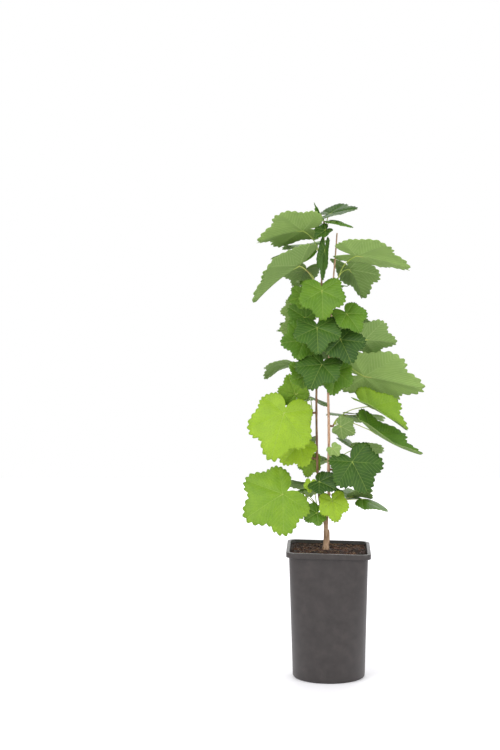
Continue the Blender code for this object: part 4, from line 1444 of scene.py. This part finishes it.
@dataclass
class Foliage:
    """Dresses a mass: toothed, veined blades and round stalks on a scaly spur."""

    crown: Crown
    teeth: int = 40
    per_tooth: int = 4
    rings: int = 8
    ring_spacing: float = 0.8  # below 1, the rings crowd towards the edge
    tooth_depth: float = 0.075
    tooth_slant: float = 1.25
    smooth_from: float = 172  # no teeth at the stalk
    rounding: float = 4.0
    vein_angles: tuple = (-116, -57, 0, 57, 116)
    vein_groove: float = 0.07
    quilt: float = 0.022
    wave: float = 0.018
    waves: int = 5
    thin: float = 0.0055
    least_width: float = 0.2
    tone_spread: float = 0.08
    stalk_steps: int = 16
    stalk_sides: int = 8
    spur_steps: int = 9
    spur_sides: int = 12

    def plain_reach(self, angle: float) -> float:
        """Reach of the untoothed outline.

        Args:
            angle: the angle from the midrib.

        Returns:
            The reach.
        """
        turned = abs((angle + 180) % FULL_TURN - 180)
        stops = (*self.crown.outline, (180, self.crown.sinus))
        for (a, low), (b, high) in zip(stops, stops[1:]):
            if turned <= b:
                return mix(low, high, (turned - a) / (b - a))
        return self.crown.sinus

    def reach(self, angle: float) -> float:
        """Reach of the rounded and toothed outline.

        Args:
            angle: the angle from the midrib.

        Returns:
            The reach.
        """
        near = (-self.rounding, 0.0, self.rounding)
        smooth = sum(self.plain_reach(angle + off) for off in near) / len(near)
        place = abs(angle) / 180 * self.teeth / 2 % 1.0
        tooth = 1.0 - abs(2 * place - self.tooth_slant) / self.tooth_slant
        fade = clamp((self.smooth_from - abs(angle)) / 20)
        return smooth * (1 + self.tooth_depth * (tooth - 0.55) * fade)

    def vein_of(self, angle: float) -> float:
        """The main vein whose sector an angle lies in."""
        return min(self.vein_angles, key=lambda vein: abs(vein - angle))

    def layer(self, mesh: Mesh, blade: Blade, angles: list, depth: float, phase: float) -> tuple:
        """Adds the vertices of one side of a blade.

        Args:
            mesh: the mesh they go into.
            blade: the blade.
            angles: the angles of the points of a ring.
            depth: how far this side lies under the upper one.
            phase: where the waves of its edge start.

        Returns:
            The centre, and the rings from the inmost outwards.
        """
        rows = []
        for ring in range(1, self.rings + 1):
            share = (ring / self.rings) ** self.ring_spacing
            row = []
            for angle in angles:
                reach = self.reach(angle) * share
                off = abs(math.radians(angle - self.vein_of(angle))) * reach
                lift = self.quilt * (1 - math.exp(-((off / self.vein_groove) ** 2))) - depth
                lift += self.wave * math.sin(math.radians(angle) * self.waves + phase) * share**3
                row.append(mesh.verts.new(blade.polar(angle, reach, lift)))
            rows.append(row)
        return mesh.verts.new(blade.point(0, 0, -depth)), rows

    def add_blade(self, mesh: Mesh, blade: Blade, tone_and_light: float, phase: float) -> None:
        """Adds one blade as a thin closed plate with its vein map and tones.

        Args:
            mesh: the mesh it goes into.
            blade: the blade.
            tone_and_light: how light it is painted, its own colour with painted light and painted
                shade.
            phase: where the waves of its edge start.
        """
        tone_and_light_layer, unders = (mesh.faces.layers.float[name] for name in ("tone_and_light", "under"))
        count = self.teeth * self.per_tooth
        angles = [-180 + FULL_TURN * k / count for k in range(count)]
        sides = [self.layer(mesh, blade, angles, depth, phase) for depth in (0.0, self.thin)]
        for is_under, (centre, rows) in enumerate(sides):
            for k in range(count):
                after = (k + 1) % count
                bands = [(centre, rows[0][k], rows[0][after])]
                bands += [(low[k], high[k], high[after], low[after])
                          for low, high in zip(rows, rows[1:])]
                for corners in bands:
                    face = mesh.faces.new(reversed(corners) if is_under else corners)
                    face[tone_and_light_layer], face[unders] = tone_and_light, float(is_under)
                    self.map_veins(mesh, face, blade, angles[k] + 180 / count)
        upper, lower = (rows[-1] for _, rows in sides)
        for k in range(count):
            after = (k + 1) % count
            face = mesh.faces.new((upper[k], lower[k], lower[after], upper[after]))
            face[tone_and_light_layer], face[unders] = tone_and_light, 0.5

    def map_veins(self, mesh: Mesh, face: Any, blade: Blade, middle: float) -> None:
        """Writes how far each corner of a face is along and off its main vein.

        Args:
            mesh: the mesh.
            face: the face.
            blade: its blade.
            middle: the angle of its middle.
        """
        turn = math.radians(self.vein_of(middle))
        width = max(blade.breadth * math.cos(blade.fold), self.least_width)
        for loop in face.loops:
            away = loop.vert.co - blade.base
            u, v = away.dot(blade.forward), away.dot(blade.left) / width
            run = u * math.cos(turn) + v * math.sin(turn)
            off = abs(v * math.cos(turn) - u * math.sin(turn))
            loop[mesh.loops.layers.uv[VEIN_MAP]].uv = (run, off)

    def blades(self, mass: Mass, leaves: list, look: Look) -> Thing:
        """Makes the blades of a mass.

        Args:
            mass: the mass.
            leaves: its leaves.
            look: their material.

        Returns:
            The blades as one piece.
        """
        rng = random.Random(mass.name)
        mesh = bmesh.new()
        mesh.loops.layers.uv.new(VEIN_MAP)
        for name in ("tone_and_light", "under"):
            mesh.faces.layers.float.new(name)
        for leaf in leaves:
            # each blade's lightness: its own colour with painted light where lit through and
            # painted shade
            tone_and_light = clamp(leaf.shade.value + rng.uniform(-self.tone_spread, self.tone_spread))
            self.add_blade(mesh, Blade(leaf), tone_and_light, rng.uniform(0, math.tau))
        return make_piece(mass.name + "_blades", mesh, look)

    def stalks(self, mass: Mass, leaves: list, look: Look) -> Thing:
        """Makes the stalks of a mass, each thicker at both ends.

        Args:
            mass: the mass.
            leaves: its leaves.
            look: their material.

        Returns:
            The stalks as one piece.
        """
        mesh = bmesh.new()
        thin = self.crown.stalk_radius
        for leaf in leaves:
            path = self.crown.stalk_path(mass, leaf, self.stalk_steps)
            last = len(path) - 1
            radii = [thin * (0.72 + 0.5 * math.exp(-i / 2) + 0.2 * math.exp((i - last) / 2))
                     for i in range(last)] + [thin * 0.4]
            add_tube(mesh, path, radii, self.stalk_sides)
        return make_piece(mass.name + "_stalks", mesh, look)

    def spur(self, mass: Mass, look: Look) -> Thing:
        """Makes the spur of a mass, ringed by old bud scales.

        Args:
            mass: the mass.
            look: its bark.

        Returns:
            The spur.
        """
        path = smooth_path(self.crown.spur_path(mass), self.spur_steps)
        thick, _, thin = self.crown.spur_radii
        last = len(path) - 1
        radii = [mix(thick, thin, i / last) * (0.90 + 0.12 * (i % 3 == 1))
                 for i in range(last + 1)]
        mesh = bmesh.new()
        add_tube(mesh, path, radii, self.spur_sides, False, 0.10)
        return make_piece(mass.name + "_spur", mesh, look)


# The studio


class Light(NamedTuple):
    """A soft square light, its side in metres and its power in watts."""

    name: str
    place: tuple
    side: float
    power: float


@dataclass(frozen=True)
class Studio:
    """White floor and soft light, with the camera level with the top of the plant."""

    lens: float = 81.94
    sensor: float = 36.0
    place: tuple = (0.0, -2.8, 0.7115)
    yaw: float = 2.63
    pitch: float = 4.3
    roll: float = 0.3
    picture: tuple = (500, 750)
    aim: tuple = (0.0, 0.0, 0.4)
    floor_half: float = 2.4
    floor_drop: float = 0.0005
    lights: tuple = (Light("key_light", (-1.6, -1.8, 2.4), 1.8, 42.0),
                     Light("fill_light", (1.9, -1.4, 1.5), 1.8, 20.0),
                     Light("back_light", (0.3, 2.2, 2.0), 2.2, 30.0))

    def build(self) -> None:
        """Sets up the camera, the floor, the sky and the lights."""
        scene = bpy.context.scene
        scene.render.resolution_x, scene.render.resolution_y = self.picture
        scene.view_settings.view_transform = "Standard"
        scene.camera = self.camera()
        self.floor()
        for light in self.lights:
            self.hang(light)
        world = bpy.data.worlds.new("white_sky")
        world.use_nodes = True
        world.node_tree.nodes["Background"].inputs[0].default_value = linear("#FFFFFF")
        scene.world = world

    def camera(self) -> Thing:
        """Makes the camera.

        Returns:
            The camera.
        """
        data = bpy.data.cameras.new("studio_camera")
        data.sensor_fit, data.sensor_height, data.lens = "VERTICAL", self.sensor, self.lens
        camera = bpy.data.objects.new("studio_camera", data)
        turn = Euler((math.radians(90 - self.pitch), 0, math.radians(self.yaw))).to_matrix()
        tilt = Matrix.Rotation(math.radians(-self.roll), 3, "Z")
        camera.matrix_world = Matrix.Translation(self.place) @ (turn @ tilt).to_4x4()
        bpy.context.scene.collection.objects.link(camera)
        return camera

    def floor(self) -> None:
        """A wide white floor of matt paint."""
        mesh = bmesh.new()
        bmesh.ops.create_grid(mesh, x_segments=1, y_segments=1, size=self.floor_half)
        s = Sketch("white_floor")
        plane = make_piece("studio_floor", mesh, s.finish(s.skin("#F4F3F6", 0.7)))
        plane.data.transform(Matrix.Translation(-LEVEL * self.floor_drop))

    def hang(self, light: Light) -> None:
        """Hangs a light so that it faces the plant.

        Args:
            light: the light.
        """
        data = bpy.data.lights.new(light.name, "AREA")
        data.shape, data.size, data.energy = "SQUARE", light.side, light.power
        lamp = bpy.data.objects.new(light.name, data)
        way = Vector(self.aim) - Vector(light.place)
        lamp.matrix_world = (
            Matrix.Translation(light.place) @ way.to_track_quat("-Z", "Y").to_matrix().to_4x4())
        bpy.context.scene.collection.objects.link(lamp)


def plant(brown: Look) -> None:
    """Builds the wood and the leaves.

    Args:
        brown: the brown bark, which the left stem and the spurs share.
    """
    crown = Crown()
    grown = crown.grow()
    grey = BarkFinish("grey_tan_bark", "#A58568", "#5D4130", "#C4A88E").material()
    pink = BarkFinish("pink_tan_bark", "#BC9478", "#7E5A44", "#D8B99E").material()
    wood = Wood()
    hand_over(wood.trunk(grey), Slot.BARK, "trunk")
    for which, look in ((Stem.LEFT, brown), (Stem.RIGHT, pink)):
        hand_over(wood.stem(which, look), Slot.BARK, which.value)
    foliage = Foliage(crown)
    blade, stalk = LeafFinish().material(), StalkFinish().material()
    for mass in MASSES:
        leaves = grown[mass.name]
        hand_over(foliage.blades(mass, leaves, blade), Slot.LEAF, mass.name)
        hand_over(foliage.stalks(mass, leaves, stalk), Slot.LEAF, mass.name)
        hand_over(foliage.spur(mass, brown), Slot.BARK, mass.name)


def main() -> None:
    """Builds the bush piece by piece."""
    logging.basicConfig(level=logging.INFO, format="%(message)s")
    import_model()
    peat = SoilFinish().material()
    fibre = BarkFinish("pale_root_fibre", "#8F6B4B", "#5A3B28", "#B59A78").material()
    pot = Pot()
    soil = Soil(pot)
    hand_over(pot.build(PlasticFinish().material()), Slot.PLASTIC, "pot")
    hand_over(soil.build(peat), Slot.SOIL, "soil")
    hand_over(soil.crumbs(peat), Slot.SOIL)
    hand_over(soil.strands(fibre), Slot.SOIL)
    plant(BarkFinish("brown_bark", "#7A5B41", "#452F20", "#9C7E5E").material())
    Studio().build()
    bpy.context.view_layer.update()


if __name__ == "__main__":
    main()
